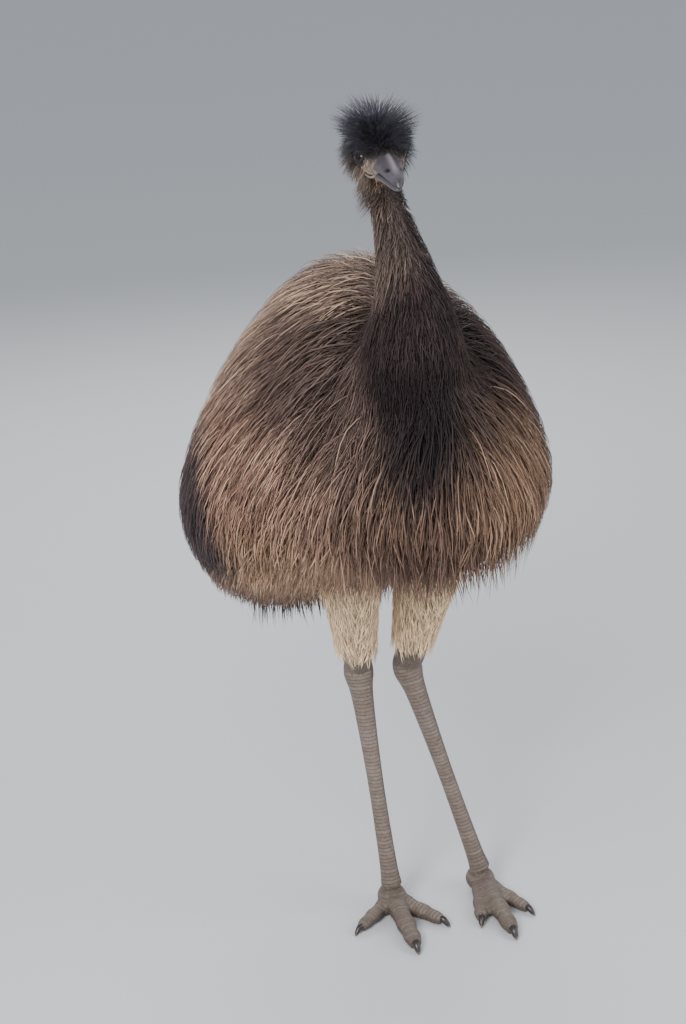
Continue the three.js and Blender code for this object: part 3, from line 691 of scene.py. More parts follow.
def plumage_colours() -> bpy.types.NodeTree:
    """Gives the node group of the markings, made once.

    Returns:
        The group, from a place on the bird to its colour.
    """
    name = "plumage colours"
    if name in bpy.data.node_groups:
        return bpy.data.node_groups[name]
    group = bpy.data.node_groups.new(name, "ShaderNodeTree")
    group.interface.new_socket("Place", in_out="INPUT", socket_type="NodeSocketVector")
    group.interface.new_socket("Colour", in_out="OUTPUT", socket_type="NodeSocketColor")
    tree = Tree(group)
    place = tree.add("NodeGroupInput").outputs[0]
    wobble = tree.math("MULTIPLY", tree.math("SUBTRACT", tree.noise(place, 9.0, 3.0), 0.5), 0.5)
    colour: object = PLUMAGE_BASE
    for middle, radii, marking, softness in MARKINGS:
        away = tree.vector("SUBTRACT", place, tuple(placed(middle)))
        away = tree.vector("LENGTH", tree.vector("DIVIDE", away, tuple(np.array(radii) * MM)))
        share = tree.eased(tree.math("ADD", away, wobble), 1 - softness, 1 + softness, 1.0, 0.0)
        colour = tree.mix(share, colour, shade(*marking), "RGBA")
    tree.add("NodeGroupOutput", {0: tree.vector("MULTIPLY", colour, PLUMAGE_LEVEL)})
    return group


class Paint(Tree):
    """A new material's node tree, round its main shader."""

    def __init__(self, name: str) -> None:
        """Makes the material.

        Args:
            name: Its name.
        """
        self.material = bpy.data.materials.new(name)
        self.material.use_nodes = True
        super().__init__(self.material.node_tree)

    def attribute(self, name: str, output: str = "Fac") -> Socket:
        """Reads an attribute of the mesh.

        Args:
            name: Its name.
            output: Fac for a number, Vector for a vector.

        Returns:
            Its value.
        """
        return self.add("ShaderNodeAttribute", attribute_name=name).outputs[output]

    def place(self) -> Socket:
        """Reads the place on the object.

        Returns:
            The place.
        """
        return self.add("ShaderNodeTexCoord").outputs["Object"]

    def plumage(self, place: object) -> Socket:
        """Reads the plumage's markings.

        Args:
            place: Where on the bird.

        Returns:
            The colour there.
        """
        return self.add("ShaderNodeGroup", {"Place": place}, node_tree=plumage_colours()).outputs[0]

    def bump(self, height: object, strength: float, distance: float) -> Socket:
        """Adds fine relief.

        Args:
            height: Its height, from 0 to 1.
            strength: Its strength.
            distance: Its real height, in metres.

        Returns:
            What the shader's Normal takes.
        """
        sockets = {"Height": height, "Strength": strength, "Distance": distance}
        return self.add("ShaderNodeBump", sockets).outputs[0]

    def done(self, sockets: dict) -> bpy.types.Material:
        """Feeds the main shader.

        Args:
            sockets: For each of its sockets a plain value or an output socket.

        Returns:
            The material.
        """
        self.feed(self.tree.nodes["Principled BSDF"], sockets)
        return self.material


@dataclass(frozen=True)
class CoatFinish:
    """Finish of feathers or bristles: the bird's markings with shade from strand to strand, and painted shade
    deep in the coat that darkens each strand toward its root.
    """

    name: str
    tint: tuple = (1.0, 1.0, 1.0, 1.0)
    tint_share: float = 0.0
    spread: float = 0.35
    # painted shade deep in the coat: how much darker a strand is drawn at its root
    root_shade: float = 0.45
    pale: float = 0.25  # how far the palest locks turn to straw
    roughness: float = 0.62

    STRAW = shade(184, 156, 130)

    def material(self) -> bpy.types.Material:
        """Makes the material.

        Returns:
            The material.
        """
        paint = Paint(self.name)
        marked = paint.plumage(paint.attribute("root", "Vector"))
        colour = paint.mix(self.tint_share, marked, self.tint, "RGBA")
        strand = paint.math("MULTIPLY", paint.attribute("strand"), 0.6)
        lot = paint.math("ADD", strand, paint.math("MULTIPLY", paint.attribute("lock"), 0.4))
        brightness = paint.add("ShaderNodeRGBToBW", {0: colour}).outputs[0]
        open_ground = paint.eased(brightness, 0.05, 0.12)  # the dark markings have no straw in them
        straw = paint.math("MULTIPLY", paint.eased(lot, 0.62, 0.86, 0.0, self.pale), open_ground)
        colour = paint.mix(straw, colour, self.STRAW, "RGBA")
        value = paint.eased(lot, 0.15, 0.85, 1 - self.spread, 1 + self.spread * 1.5)
        # painted shade along the strand: darker toward the root where the coat is deep, slightly brighter at
        # the tip
        tip = paint.eased(paint.attribute("along"), 0.0, 0.9, 1 - self.root_shade, 1.08)
        colour = paint.scaled(colour, paint.math("MULTIPLY", value, tip))
        return paint.done({"Base Color": colour, "Roughness": self.roughness, "Specular IOR Level": 0.3})


@dataclass(frozen=True)
class SkinFinish:
    """Finish of the skin: the plumage's markings above, drawn darker under the coat as painted shade, and
    scaly legs and feet below, whose paler plates are partly painted highlight.
    """

    leg: tuple = shade(110, 95, 85)
    # The plates' paler colour: partly their own tone from plate to plate, partly painted highlight on the
    # shanks' fronts turned toward the key lamp and camera, and on the toes' tops
    scute_and_glint: tuple = shade(134, 122, 112)
    scale_size: float = 260.0
    plate_length: float = 0.0062
    leg_top: float = 0.455  # metres above the floor
    shaded: float = 0.7  # painted shade: how much darker the skin is drawn under the coat

    def material(self) -> bpy.types.Material:
        """Makes the material.

        Returns:
            The material.
        """
        paint = Paint("skin")
        place = paint.place()
        above = paint.add("ShaderNodeSeparateXYZ", {0: place}).outputs["Z"]
        legs = paint.eased(above, self.leg_top, self.leg_top - 0.035)
        foot = paint.eased(above, 0.10, 0.04, 1.0, 0.72)
        scales = {"Vector": place, "Scale": self.scale_size}
        edge = paint.add("ShaderNodeTexVoronoi", scales, feature="DISTANCE_TO_EDGE").outputs["Distance"]
        crack = paint.eased(edge, 0.0, 0.18)
        cell = paint.add("ShaderNodeTexVoronoi", scales).outputs["Color"]
        tone = paint.math("MULTIPLY", paint.add("ShaderNodeSeparateColor", {0: cell}).outputs[0], 0.3)
        patches = paint.math("ADD", paint.math("MULTIPLY", paint.noise(place, 14.0, 4.0), 0.5), 0.6)
        plated = paint.attribute("plated")
        steps = paint.math("DIVIDE", paint.attribute("plate"), self.plate_length)
        within = paint.math("ABSOLUTE", paint.math("SUBTRACT", paint.math("FRACT", steps), 0.5))
        seam = paint.eased(within, 0.5, 0.36)
        relief = paint.mix(plated, crack, seam, "FLOAT")
        level = paint.math("MULTIPLY", paint.math("ADD", tone, patches), foot,
                           paint.eased(relief, 0.0, 1.0, 0.72, 1.0))
        whole = {"W": paint.math("FLOOR", steps)}
        number = paint.add("ShaderNodeTexWhiteNoise", whole, noise_dimensions="1D").outputs[0]
        # Paler plates drawn at random on the plated side: partly their own tone, partly painted highlight
        share = paint.math("MULTIPLY", plated, paint.eased(number, 0.2, 0.9, 0.1, 0.5))
        leg = paint.scaled(paint.mix(share, self.leg, self.scute_and_glint, "RGBA"), level)
        colour = paint.mix(legs, paint.scaled(paint.plumage(place), self.shaded), leg, "RGBA")
        normal = paint.bump(relief, 0.7, 0.0014)
        return paint.done({"Base Color": colour, "Roughness": 0.58, "Normal": normal})


@dataclass(frozen=True)
class ToneFinish:
    """A finish whose colour follows the mesh's own tone. Each stop has a tone and its colour on a screen."""

    name: str
    stops: tuple
    roughness: float = 0.5
    gloss: float = 0.0
    mottle: float = 0.0
    scale: float = 160.0
    bending: float = 1.45  # of light

    def material(self) -> bpy.types.Material:
        """Makes the material.

        Returns:
            The material.
        """
        paint = Paint(self.name)
        ramp = paint.add("ShaderNodeValToRGB", {0: paint.attribute("tone")})
        elements = ramp.color_ramp.elements
        while len(elements) < len(self.stops):
            elements.new(0.5)
        for element, (position, *colour) in zip(elements, self.stops):
            element.position = position
            element.color = shade(*colour)
        noise = paint.noise(paint.place(), self.scale, 5.0)
        level = paint.eased(noise, 0.3, 0.7, 1 - self.mottle, 1 + self.mottle)
        sockets = {
            "Base Color": paint.scaled(ramp.outputs[0], level), "Roughness": self.roughness,
            "Coat Weight": self.gloss, "IOR": self.bending,
        }
        if self.mottle:
            sockets["Normal"] = paint.bump(noise, 0.35, 0.0006)
        return paint.done(sockets)


# The skin


class Zone(Enum):
    """Which form a place on the skin belongs to."""

    BODY = 0
    NECK = 1
    HEAD = 2
    THIGH = 3
    SHANK = 4
    FOOT = 5


class Survey:
    """What is known at each point of the skin, and how the coat grows there."""

    # How the strands lie: x to the bird's side, y backward, z up
    BACK_LIE = (0.75, 0.9, -0.3)
    FLANK_LIE = (0.35, 0.65, -1.0)
    BREAST_LIE = (0.15, -0.1, -1.0)
    NECK_LIE = (0.0, 0.05, -1.0)
    THIGH_LIE = (0.0, 0.1, -1.0)
    PARTING = 60.0  # half the width over which the back's strands turn from side to side
    # How long the strands are and how far above the skin they lie, in metres
    BODY_REACH = 0.125
    NECK_REACH = 0.030
    HEAD_REACH = 0.018
    THIGH_REACH = 0.045
    NECK_DEPTH = 0.008
    HEAD_DEPTH = 0.003
    THIGH_DEPTH = 0.010
    WING_MIDDLE = (205, -10, 760)
    WING_RADII = (55, 110, 80)

    def __init__(self, mesh: bpy.types.Mesh, sources: list[tuple[Array, Zone]]) -> None:
        """Reads the skin.

        Args:
            mesh: The skin's mesh.
            sources: For each form that it was joined from, its points and what it is.
        """
        points = self.read(mesh.vertices, "co")
        self.normals = self.read(mesh.vertex_normals, "vector")
        self.up = self.normals[:, 2]
        self.place = (points - SHIFT) / MM
        self.skull = (self.place - np.array(HEAD_PLACE)) @ np.array(HEAD_FRAME.to_3x3())
        self.low = 1 - smooth(self.skull[:, 2], 4, 14)  # 1 on the cheeks and 0 on the crown
        tree = KDTree(sum(len(places) for places, _ in sources))
        labels = []
        for places, zone in sources:
            for place in places:
                tree.insert(place, len(labels))
                labels.append(zone.value)
        tree.balance()
        zones = np.array([labels[tree.find(point)[1]] for point in points])
        self.body, self.neck, self.head, self.thigh, self.shank, self.foot = (
            zones == zone.value for zone in Zone
        )

    @staticmethod
    def read(items: bpy.types.bpy_prop_collection, field: str) -> Array:
        """Reads a vector of each point.

        Args:
            items: The mesh's points or normals.
            field: The vector's name.

        Returns:
            One row for each point.
        """
        values = np.zeros(len(items) * 3, np.float32)
        items.foreach_get(field, values)
        return values.reshape(-1, 3).astype(float)

    def lie(self) -> Array:
        """Finds the way the strands lie along the skin.

        Returns:
            A unit vector for each point, square to its normal.
        """
        x, y, _ = self.place.T
        side = np.tanh((x - BODY_MIDDLE_X) / self.PARTING)
        flank, breast, back = (
            np.stack([wide * side, np.full(len(x), along), np.full(len(x), fall)], axis=1)
            for wide, along, fall in (self.FLANK_LIE, self.BREAST_LIE, self.BACK_LIE)
        )
        front = smooth(-y, 170, 260)[:, None]
        lie = flank * (1 - front) + front * breast
        fan = (self.body * smooth(self.up, 0.4, 0.9))[:, None]
        lie = lie * (1 - fan) + fan * back
        lie[self.neck | self.head] = self.NECK_LIE
        lie[self.thigh] = self.THIGH_LIE
        return unit(lie - self.normals * (lie * self.normals).sum(axis=1, keepdims=True))

    def reach(self) -> Array:
        """Finds how long the strands are.

        Returns:
            A length for each point, in metres.
        """
        x, _, z = self.place.T
        turned = np.degrees(np.arccos(np.clip(self.up, -1, 1)))  # 0 on the back, 180 under the belly
        reach = self.BODY_REACH * (1 - 0.45 * smooth(turned, 75, 128))
        reach *= 1 - 0.5 * smooth(x, 0, 110) * smooth(turned, 70, 115)  # the left side lies closer
        fringe = 0.018 * smooth(-self.normals[:, 0], 0.2, 0.8) * smooth(z, 1040, 1120)
        fringe = fringe - 0.02 * smooth(z, 1178, 1205)  # short below the head
        bib = 0.07 * smooth(1130 - z, 0, 220)
        reach[self.neck] = (self.NECK_REACH + fringe + bib)[self.neck]
        reach[self.thigh] = self.THIGH_REACH
        crest = 0.028 * smooth(self.up, 0.5, 0.95)
        reach[self.head] = (self.HEAD_REACH + 0.007 * self.low + crest)[self.head]
        return reach

    def depth(self) -> Array:
        """Finds how far above the skin the strands lie.

        Returns:
            A depth for each point, in metres.
        """
        depth = np.full(len(self.place), SKIN_DEPTH * MM)
        bib = 0.014 * smooth(1050 - self.place[:, 2], 0, 150)
        depth[self.neck] = (self.NECK_DEPTH + bib)[self.neck]
        depth[self.head] = self.HEAD_DEPTH
        depth[self.thigh] = self.THIGH_DEPTH
        return depth

    def growth(self) -> dict[str, Array]:
        """Finds where each piece of the coat grows.

        Returns:
            For each region the share of its full density at each point.
        """
        x, y, z = self.place.T
        covered = self.body * smooth(self.up, -0.98, -0.8)  # all but the underside
        back = smooth(self.up, 0.25, 0.5)
        left = smooth(x, -10, 30)
        rump, tail, breast = smooth(y, 110, 180), smooth(y, 310, 360), smooth(-y, 150, 220)
        from_side = np.stack([np.abs(x - BODY_MIDDLE_X), y, z]) - np.array(self.WING_MIDDLE)[:, None]
        from_wing = np.linalg.norm(from_side / np.array(self.WING_RADII)[:, None], axis=0)
        wing = self.body * smooth(1.3 - from_wing, 0, 0.4)
        sides = (self.body | self.neck) * smooth(self.up, -0.98, -0.8)
        eyes = [np.linalg.norm(self.skull - EYE_PLACE * (end, 1, 1), axis=1) for end in (-1, 1)]
        bare = smooth(np.minimum(*eyes), EYE_RADIUS + 1.5, EYE_RADIUS + 4)  # 0 round the eyes
        ahead, above = self.skull[:, 1], self.skull[:, 2]
        lores = (1 - smooth(ahead, -26, -14)) * (1 - smooth(above, 3, 10))
        crown = smooth(ahead, -46, -34) * (1 - lores) * smooth(self.up, -0.95, -0.7)
        nape = smooth(z, 1192, 1216)
        halved = {
            "back_": covered * (1 - rump) * (1 - breast) * back,
            "": sides * (1 - rump) * (1 - breast) * (1 - 0.7 * wing) * (1 - back),
            "breast_": covered * (1 - rump) * breast,
            "rump_": covered * rump * (1 - tail),
        }
        halves = (("left", left), ("right", 1 - left))
        return {name + side: whole * half for name, whole in halved.items() for side, half in halves} | {
            "tail": covered * tail,
            "wing": wing,
            "neck": self.neck * (1 - nape),
            "crest": self.head * crown * (1 - self.low) * bare,
            "cheek": (self.head * crown * self.low + self.neck * nape) * bare,
            "face": self.head * (1 - crown) * bare * smooth(ahead, -47, -42),
            "thigh_left": self.thigh * smooth(z, 462, 476) * left,
            "thigh_right": self.thigh * smooth(z, 470, 484) * (1 - left),
        }

    def plates(self) -> tuple[Array, Array]:
        """Finds how far down the legs and along the toes each place lies, for the plates on their fronts.

        Returns:
            The way run in metres, and the share of plates there.
        """
        place, (across, back, up) = self.place, self.normals.T
        run, share = np.zeros(len(place)), np.zeros(len(place))
        nearest = np.full(len(place), np.inf)
        for leg in LEGS.values():
            top, ankle = np.array(leg.hock, float), np.array(leg.ankle, float)
            length = np.linalg.norm(ankle - top)
            way = (ankle - top) / length
            along = (place - top) @ way
            off = np.linalg.norm(place - top - np.clip(along, 0, length)[:, None] * way, axis=1)
            from_ankle = np.linalg.norm(place[:, :2] - ankle[:2], axis=1)
            # Turned toward the bird's right, where the key lamp and the camera stand; the paler plates there
            # are partly painted highlight
            front = smooth(-back - 0.5 * across, 0.25, 0.6)
            topside = smooth(up, 0.15, 0.5) * smooth(from_ankle, 12, 24)
            parts = ((self.shank, off, along + length, front), (self.foot, from_ankle, from_ankle, topside))
            for zone, away, passed, plated in parts:
                here = zone & (away < nearest)
                run[here], share[here] = passed[here], plated[here]
            nearest = np.minimum(nearest, np.where(self.shank, off, from_ankle))
        return run * MM, share


@dataclass
class Skin:
    """One seamless skin over body, neck, head, legs and toes, with what the coat reads from it."""

    shape: Shape = field(default_factory=Shape)
    sources: list[tuple[Array, Zone]] = field(default_factory=list)

    # How many rings each form has, and how many points a ring has
    BODY_FINENESS = (60, 72)
    NECK_FINENESS = (50, 36)
    HEAD_FINENESS = (40, 40)
    THIGH_FINENESS = (30, 28)
    SHANK_FINENESS = (50, 24)
    PAD_FINENESS = (14, 24)
    TOE_FINENESS = (34, 20)

    def put(self, rings: Array, zone: Zone) -> None:
        """Adds one form to the skin.

        Args:
            rings: Its rings, in the tables' millimetres.
            zone: What it is.
        """
        points = placed(rings)
        self.shape.add_rings(points)
        self.sources.append((points.reshape(-1, 3), zone))

    def build(self) -> Thing:
        """Joins the forms into one smooth skin.

        Returns:
            The skin.
        """
        body = Hull(BODY_ROWS, BODY_MIDDLE_X, BODY_PEAKS).inset(SKIN_DEPTH)
        self.put(body.rings(*self.BODY_FINENESS), Zone.BODY)
        neck = NECK_ROWS.copy()
        neck[:, 3:] -= NECK_COAT
        self.put(Limb(neck).rings(*self.NECK_FINENESS), Zone.NECK)
        self.put(from_head(Hull(SKULL_ROWS).rings(*self.HEAD_FINENESS)), Zone.HEAD)
        for leg in LEGS.values():
            self.put(leg.thigh().rings(*self.THIGH_FINENESS), Zone.THIGH)
            self.put(leg.shank().rings(*self.SHANK_FINENESS), Zone.SHANK)
            self.put(leg.pad(*self.PAD_FINENESS), Zone.FOOT)
            for name in leg.toes:
                self.put(leg.toe(name).rings(*self.TOE_FINENESS), Zone.FOOT)
        skin = self.shape.to_object("skin")
        remesh = skin.modifiers.new("join", "REMESH")
        remesh.mode = "VOXEL"
        remesh.voxel_size = SKIN_VOXEL
        skin.modifiers.new("ease", "SMOOTH").iterations = SKIN_SMOOTHING
        mesh = frozen(skin).data
        mesh.materials.clear()
        mesh.materials.append(SkinFinish().material())
        mesh.shade_smooth()
        survey = Survey(mesh, self.sources)
        plate, plated = survey.plates()
        values = {
            "lie": survey.lie(), "facing": survey.normals, "reach": survey.reach(), "depth": survey.depth(),
            "plate": plate, "plated": plated,
        } | {f"grow_{region}": share for region, share in survey.growth().items()}
        for name, value in values.items():
            store(mesh, name, value)
        return skin


# The coat

COAT_STEPS = 5
STEPS = range(1, COAT_STEPS + 1)


def blade_mesh() -> Thing:
    """Makes the plain strand that every feather's strand is bent from: a thin closed blade.

    Returns:
        The strand, with its ring number, its place across and its lift at each point.
    """
    shape = Shape()
    corners = ((-1.0, 0.0), (1.0, 0.0), (0.0, 1.0))
    rings = np.array([[(*corner, ring) for corner in corners] for ring in range(COAT_STEPS)])
    shape.add_rings(rings, Ends.OPEN)
    shape.faces.append((0, 2, 1))
    tip = np.array([(0.0, 0.0, COAT_STEPS)] * len(corners))
    shape.cap(tip, (COAT_STEPS - 1) * len(corners), 1)
    blade = shape.to_object("blade")
    for name, values in zip(("across", "lift", "ring"), np.vstack(shape.points).T):
        store(blade.data, name, values)
    return blade


@dataclass(frozen=True)
class Coat:
    """One piece of the coat: strands that grow from the skin and lie along it."""

    region: str
    slot: str
    finish: CoatFinish
    density: float
    width: float
    sag: float = 0.25
    reach: float = 1.0
    depth: float = 1.0
    clump_gap: float = 0.012
    clump: float = 0.6
    cling: float = 1.0
    stand: float = 0.25
    stray: float = 0.25
    wave: float = 0.05
    seed: int = 1
    upright: bool = False  # whether its map goes round an upright line
    middle: tuple = (BODY_MIDDLE_X, 0.0, 800.0)

    def build(self, skin: Thing, blade: Thing) -> Thing:
        """Grows the piece.

        Args:
            skin: The skin it grows from.
            blade: The plain strand.

        Returns:
            The piece as a plain mesh.
        """
        name = f"coat_{self.region}"
        piece = linked(name, bpy.data.meshes.new(name))
        modifier = piece.modifiers.new("grow", "NODES")
        modifier.node_group = StrandTree.tree()
        values = {
            "Skin": skin, "Blade": blade, "Grows": f"grow_{self.region}", "Seed": self.seed,
            "Upright": self.upright, "Middle": tuple(placed(self.middle)), "Material": self.finish.material(),
        }
        for number in StrandTree.NUMBERS:
            values[number] = getattr(self, number.lower().replace(" ", "_"))
        for socket in modifier.node_group.interface.items_tree:
            if socket.item_type == "SOCKET" and socket.in_out == "INPUT" and socket.name in values:
                modifier[socket.identifier] = values[socket.name]
        frozen(piece)
        triangles = sum(len(face.vertices) - 2 for face in piece.data.polygons)
        LOG.info("%s: %d triangles", name, triangles)
        return piece


class StrandTree(Tree):
    """The node tree that grows strands, bends them along the skin and lets them hang free at the hem."""

    NAME = "strands"
    NUMBERS = (
        "Density", "Width", "Sag", "Reach", "Depth", "Clump gap", "Clump", "Cling", "Stand", "Stray", "Wave",
    )
    INPUTS = (
        ("Geometry", "Geometry"), ("Skin", "Object"), ("Blade", "Object"), ("Grows", "String"),
        *((name, "Float") for name in NUMBERS),
        ("Seed", "Int"), ("Upright", "Bool"), ("Middle", "Vector"), ("Material", "Material"),
    )
    # For each ring: its share of the coat's depth, of the way to the clump, and of the strand's width
    PROFILE = (0.0, 0.42, 0.72, 0.9, 1.0, 1.0)
    GATHER = (0.0, 0.08, 0.25, 0.5, 0.75, 1.0)
    GIRTH = (0.45, 1.0, 0.95, 0.8, 0.55, 0.0)
    ROOT_SUNK = 0.0015  # metres
    UNDERSIDE = (-0.85, -0.45)  # strands hang free where the skin faces down by more
    PATCH = 0.0015  # half a strand's patch on the map
    SPENT = ("way", "ring", "across", "lift", "lie", "facing", "reach", "depth", "plate*", "walk_*", "grow_*")

    @classmethod
    def tree(cls) -> bpy.types.NodeTree:
        """Gives the tree, made once.

        Returns:
            The node group.
        """
        if cls.NAME not in bpy.data.node_groups:
            cls(bpy.data.node_groups.new(cls.NAME, "GeometryNodeTree")).build()
        return bpy.data.node_groups[cls.NAME]

    def __init__(self, group: bpy.types.NodeTree) -> None:
        """Gives the group its sockets and reads what every step needs.

        Args:
            group: The empty group.
        """
        super().__init__(group)
        for name, kind in self.INPUTS:
            group.interface.new_socket(name, in_out="INPUT", socket_type="NodeSocket" + kind)
        group.interface.new_socket("Geometry", in_out="OUTPUT", socket_type="NodeSocketGeometry")
        self.given = self.add("NodeGroupInput").outputs
        self.skin, self.blade = (
            self.add("GeometryNodeObjectInfo", {"Object": self.given[name]}).outputs["Geometry"]
            for name in ("Skin", "Blade")
        )
        self.place = self.add("GeometryNodeInputPosition").outputs[0]
        self.strands: Socket | None = None  # what has been made so far

    def named(self, name: object, kind: str = "FLOAT") -> Socket:
        """Reads an attribute.

        Args:
            name: Its name, or a socket that gives it.
            kind: Its data type.

        Returns:
            Its value.
        """
        node = self.add("GeometryNodeInputNamedAttribute", {"Name": name}, data_type=kind)
        return node.outputs["Attribute"]

    def store(self, name: str, value: object, kind: str = "FLOAT", domain: str = "POINT") -> None:
        """Stores an attribute on the strands.

        Args:
            name: Its name.
            value: Its value.
            kind: Its data type.
            domain: Where it is stored.
        """
        node = self.add("GeometryNodeStoreNamedAttribute", data_type=kind, domain=domain)
        self.feed(node, {"Geometry": self.strands, "Name": name, "Value": value})
        self.strands = node.outputs[0]

    def random(self, low: float, high: float, draw: int, **identity: object) -> Socket:
        """Draws a number for each strand.

        Args:
            low: Smallest.
            high: Largest.
            draw: Which draw.
            **identity: As ID what the draw depends on, if not the strand's own number.

        Returns:
            The number.
        """
        seed = self.math("ADD", self.given["Seed"], draw * 101.0)
        sockets = {2: low, 3: high, "Seed": seed} | identity
        return self.add("FunctionNodeRandomValue", sockets, data_type="FLOAT").outputs[1]

    def sampled(self, value: object, place: object) -> Socket:
        """Reads a vector on the skin's nearest place.

        Args:
            value: What to read.
            place: From where.

        Returns:
            The value there.
        """
        sockets = {"Mesh": self.skin, "Value": value, "Sample Position": place}
        return self.add("GeometryNodeSampleNearestSurface", sockets, data_type=VECTOR).outputs[0]

    def scattered(self, density: object, seed: object) -> Socket:
        """Scatters points over the skin.

        Args:
            density: Points to the square metre.
            seed: The draw's seed.

        Returns:
            The points.
        """
        sockets = {"Mesh": self.skin, "Density": density, "Seed": seed}
        return self.add("GeometryNodeDistributePointsOnFaces", sockets).outputs[0]

    def by_ring(self, kind: str, values: list) -> Socket:
        """Picks the value of a point's own ring.

        Args:
            kind: The values' type.
            values: One for each ring.

        Returns:
            The value.
        """
        node = self.add("GeometryNodeIndexSwitch", data_type=kind)
        while len(node.index_switch_items) < len(values):
            node.index_switch_items.new()
        self.feed(node, {"Index": self.named("ring")} | dict(enumerate(values, 1)))
        return node.outputs[0]

    def direction(self, operation: str, *values: object) -> Socket:
        """Adds a sum on vectors and scales its result to length one.

        Args:
            operation: Which sum.
            *values: Its vectors.

        Returns:
            The unit vector.
        """
        return self.vector("NORMALIZE", self.vector(operation, *values))

    def build(self) -> None:
        """Lays out the whole tree."""
        density = self.math("MULTIPLY", self.given["Density"], self.named(self.given["Grows"]))
        self.strands = self.scattered(density, self.given["Seed"])
        self.store("root", self.place, VECTOR)
        self.clump()
        self.store("strand", self.random(0.0, 1.0, 2))
        self.march()
        sockets = {"Points": self.strands, "Instance": self.blade}
        strands = self.add("GeometryNodeInstanceOnPoints", sockets).outputs[0]
        self.strands = self.add("GeometryNodeRealizeInstances", {0: strands}).outputs[0]
        self.bend()
        self.describe()
        strands = self.add("GeometryNodeSetShadeSmooth", {0: self.strands, 2: True}).outputs[0]
        sockets = {"Geometry": strands, "Material": self.given["Material"]}
        self.add("NodeGroupOutput", {0: self.add("GeometryNodeSetMaterial", sockets).outputs[0]})

    def clump(self) -> None:
        """Stores for each root the way to the middle of its clump, and the clump's shade."""
        gap = self.given["Clump gap"]
        number = self.math("DIVIDE", 1.0, self.math("MULTIPLY", gap, gap))
        middles = self.scattered(number, self.math("ADD", self.given["Seed"], 57.0))
        sockets = {"Geometry": middles, "Sample Position": self.place}
        nearest = self.add("GeometryNodeSampleNearest", sockets).outputs[0]
        node = self.add("GeometryNodeSampleIndex", data_type=VECTOR)
        self.feed(node, {"Geometry": middles, "Value": self.place, "Index": nearest})
        way = self.scaled(self.vector("SUBTRACT", node.outputs[0], self.place), self.given["Clump"])
        self.store("way", way, VECTOR)
        self.store("lock", self.random(0.0, 1.0, 3, ID=nearest))

    def store_ring(self, ring: int, spot: object, side: object, facing: object) -> None:
        """Stores one ring of the strands' lines.

        Args:
            ring: The ring's number.
            spot: Its place.
            side: The way across it.
            facing: The way out of the coat.
        """
        for letter, value in zip("psf", (spot, side, facing)):
            self.store(f"walk_{letter}{ring}", value, VECTOR)

    def march(self) -> None:
        """Walks each strand's line step by step along the skin, and stores its rings."""
        given = self.given
        facing, lie, way = (self.named(name, VECTOR) for name in ("facing", "lie", "way"))
        astray = self.math("MULTIPLY", self.random(-1.0, 1.0, 4), given["Stray"])
        aside = self.scaled(self.vector("CROSS_PRODUCT", facing, lie), astray)
        ahead = self.direction("ADD", lie, aside, self.scaled(facing, given["Stand"]))
        reach = self.math("MULTIPLY", self.named("reach"), given["Reach"], self.random(0.7, 1.2, 5))
        step = self.math("DIVIDE", reach, float(COAT_STEPS))
        depth = self.math("MULTIPLY", self.named("depth"), given["Depth"], self.random(0.3, 1.0, 6))
        fall = self.add("ShaderNodeCombineXYZ", {2: self.math("MULTIPLY", given["Sag"], -1.0)}).outputs[0]
        phase = self.random(0.0, 6.28, 7)
        side = self.direction("CROSS_PRODUCT", facing, ahead)
        sunk = self.vector("SUBTRACT", self.place, self.scaled(facing, self.ROOT_SUNK))
        self.store_ring(0, sunk, side, facing)
        spot = self.place
        for ring in STEPS:
            loose = self.vector("ADD", spot, self.scaled(ahead, step))
            below = self.sampled(self.place, loose)
            normal = self.vector("NORMALIZE", self.sampled(facing, loose))
            raised = self.scaled(normal, self.math("MULTIPLY", depth, self.PROFILE[ring]))
            held = self.vector("ADD", below, raised)
            sway = self.math("SINE", self.math("ADD", phase, ring * 1.4))
            sway = self.scaled(side, self.math("MULTIPLY", sway, given["Wave"], step))
            gathered = self.scaled(way, self.GATHER[ring] - self.GATHER[ring - 1])
            upright = self.add("ShaderNodeSeparateXYZ", {0: normal}).outputs["Z"]
            hold = self.math("MULTIPLY", self.eased(upright, *self.UNDERSIDE), given["Cling"])
            after = self.mix(hold, loose, held, "VECTOR")
            after = self.vector("ADD", after, self.vector("ADD", gathered, sway))
            ahead = self.direction("ADD", self.direction("SUBTRACT", after, spot), fall)
            side = self.direction("CROSS_PRODUCT", normal, ahead)
            self.store_ring(ring, after, side, normal)
            spot, side = (self.named(f"walk_{letter}{ring}", VECTOR) for letter in "ps")

    def bend(self) -> None:
        """Bends the plain strands along their walked lines."""
        girth = self.by_ring("FLOAT", [girth / 2 for girth in self.GIRTH])
        own = self.math("ADD", self.math("MULTIPLY", self.named("strand"), 0.7), 0.65)
        thick = self.math("MULTIPLY", girth, self.given["Width"], own)
        wide = self.math("MULTIPLY", thick, self.named("across"))
        high = self.math("MULTIPLY", thick, self.named("lift"), 0.7)
        spot, side, facing = (
            self.by_ring("VECTOR", [self.named(f"walk_{letter}{ring}", VECTOR) for ring in (0, *STEPS)])
            for letter in "psf"
        )
        spot = self.vector("ADD", spot, self.scaled(side, wide), self.scaled(facing, high))
        sockets = {"Geometry": self.strands, "Position": spot}
        self.strands = self.add("GeometryNodeSetPosition", sockets).outputs[0]

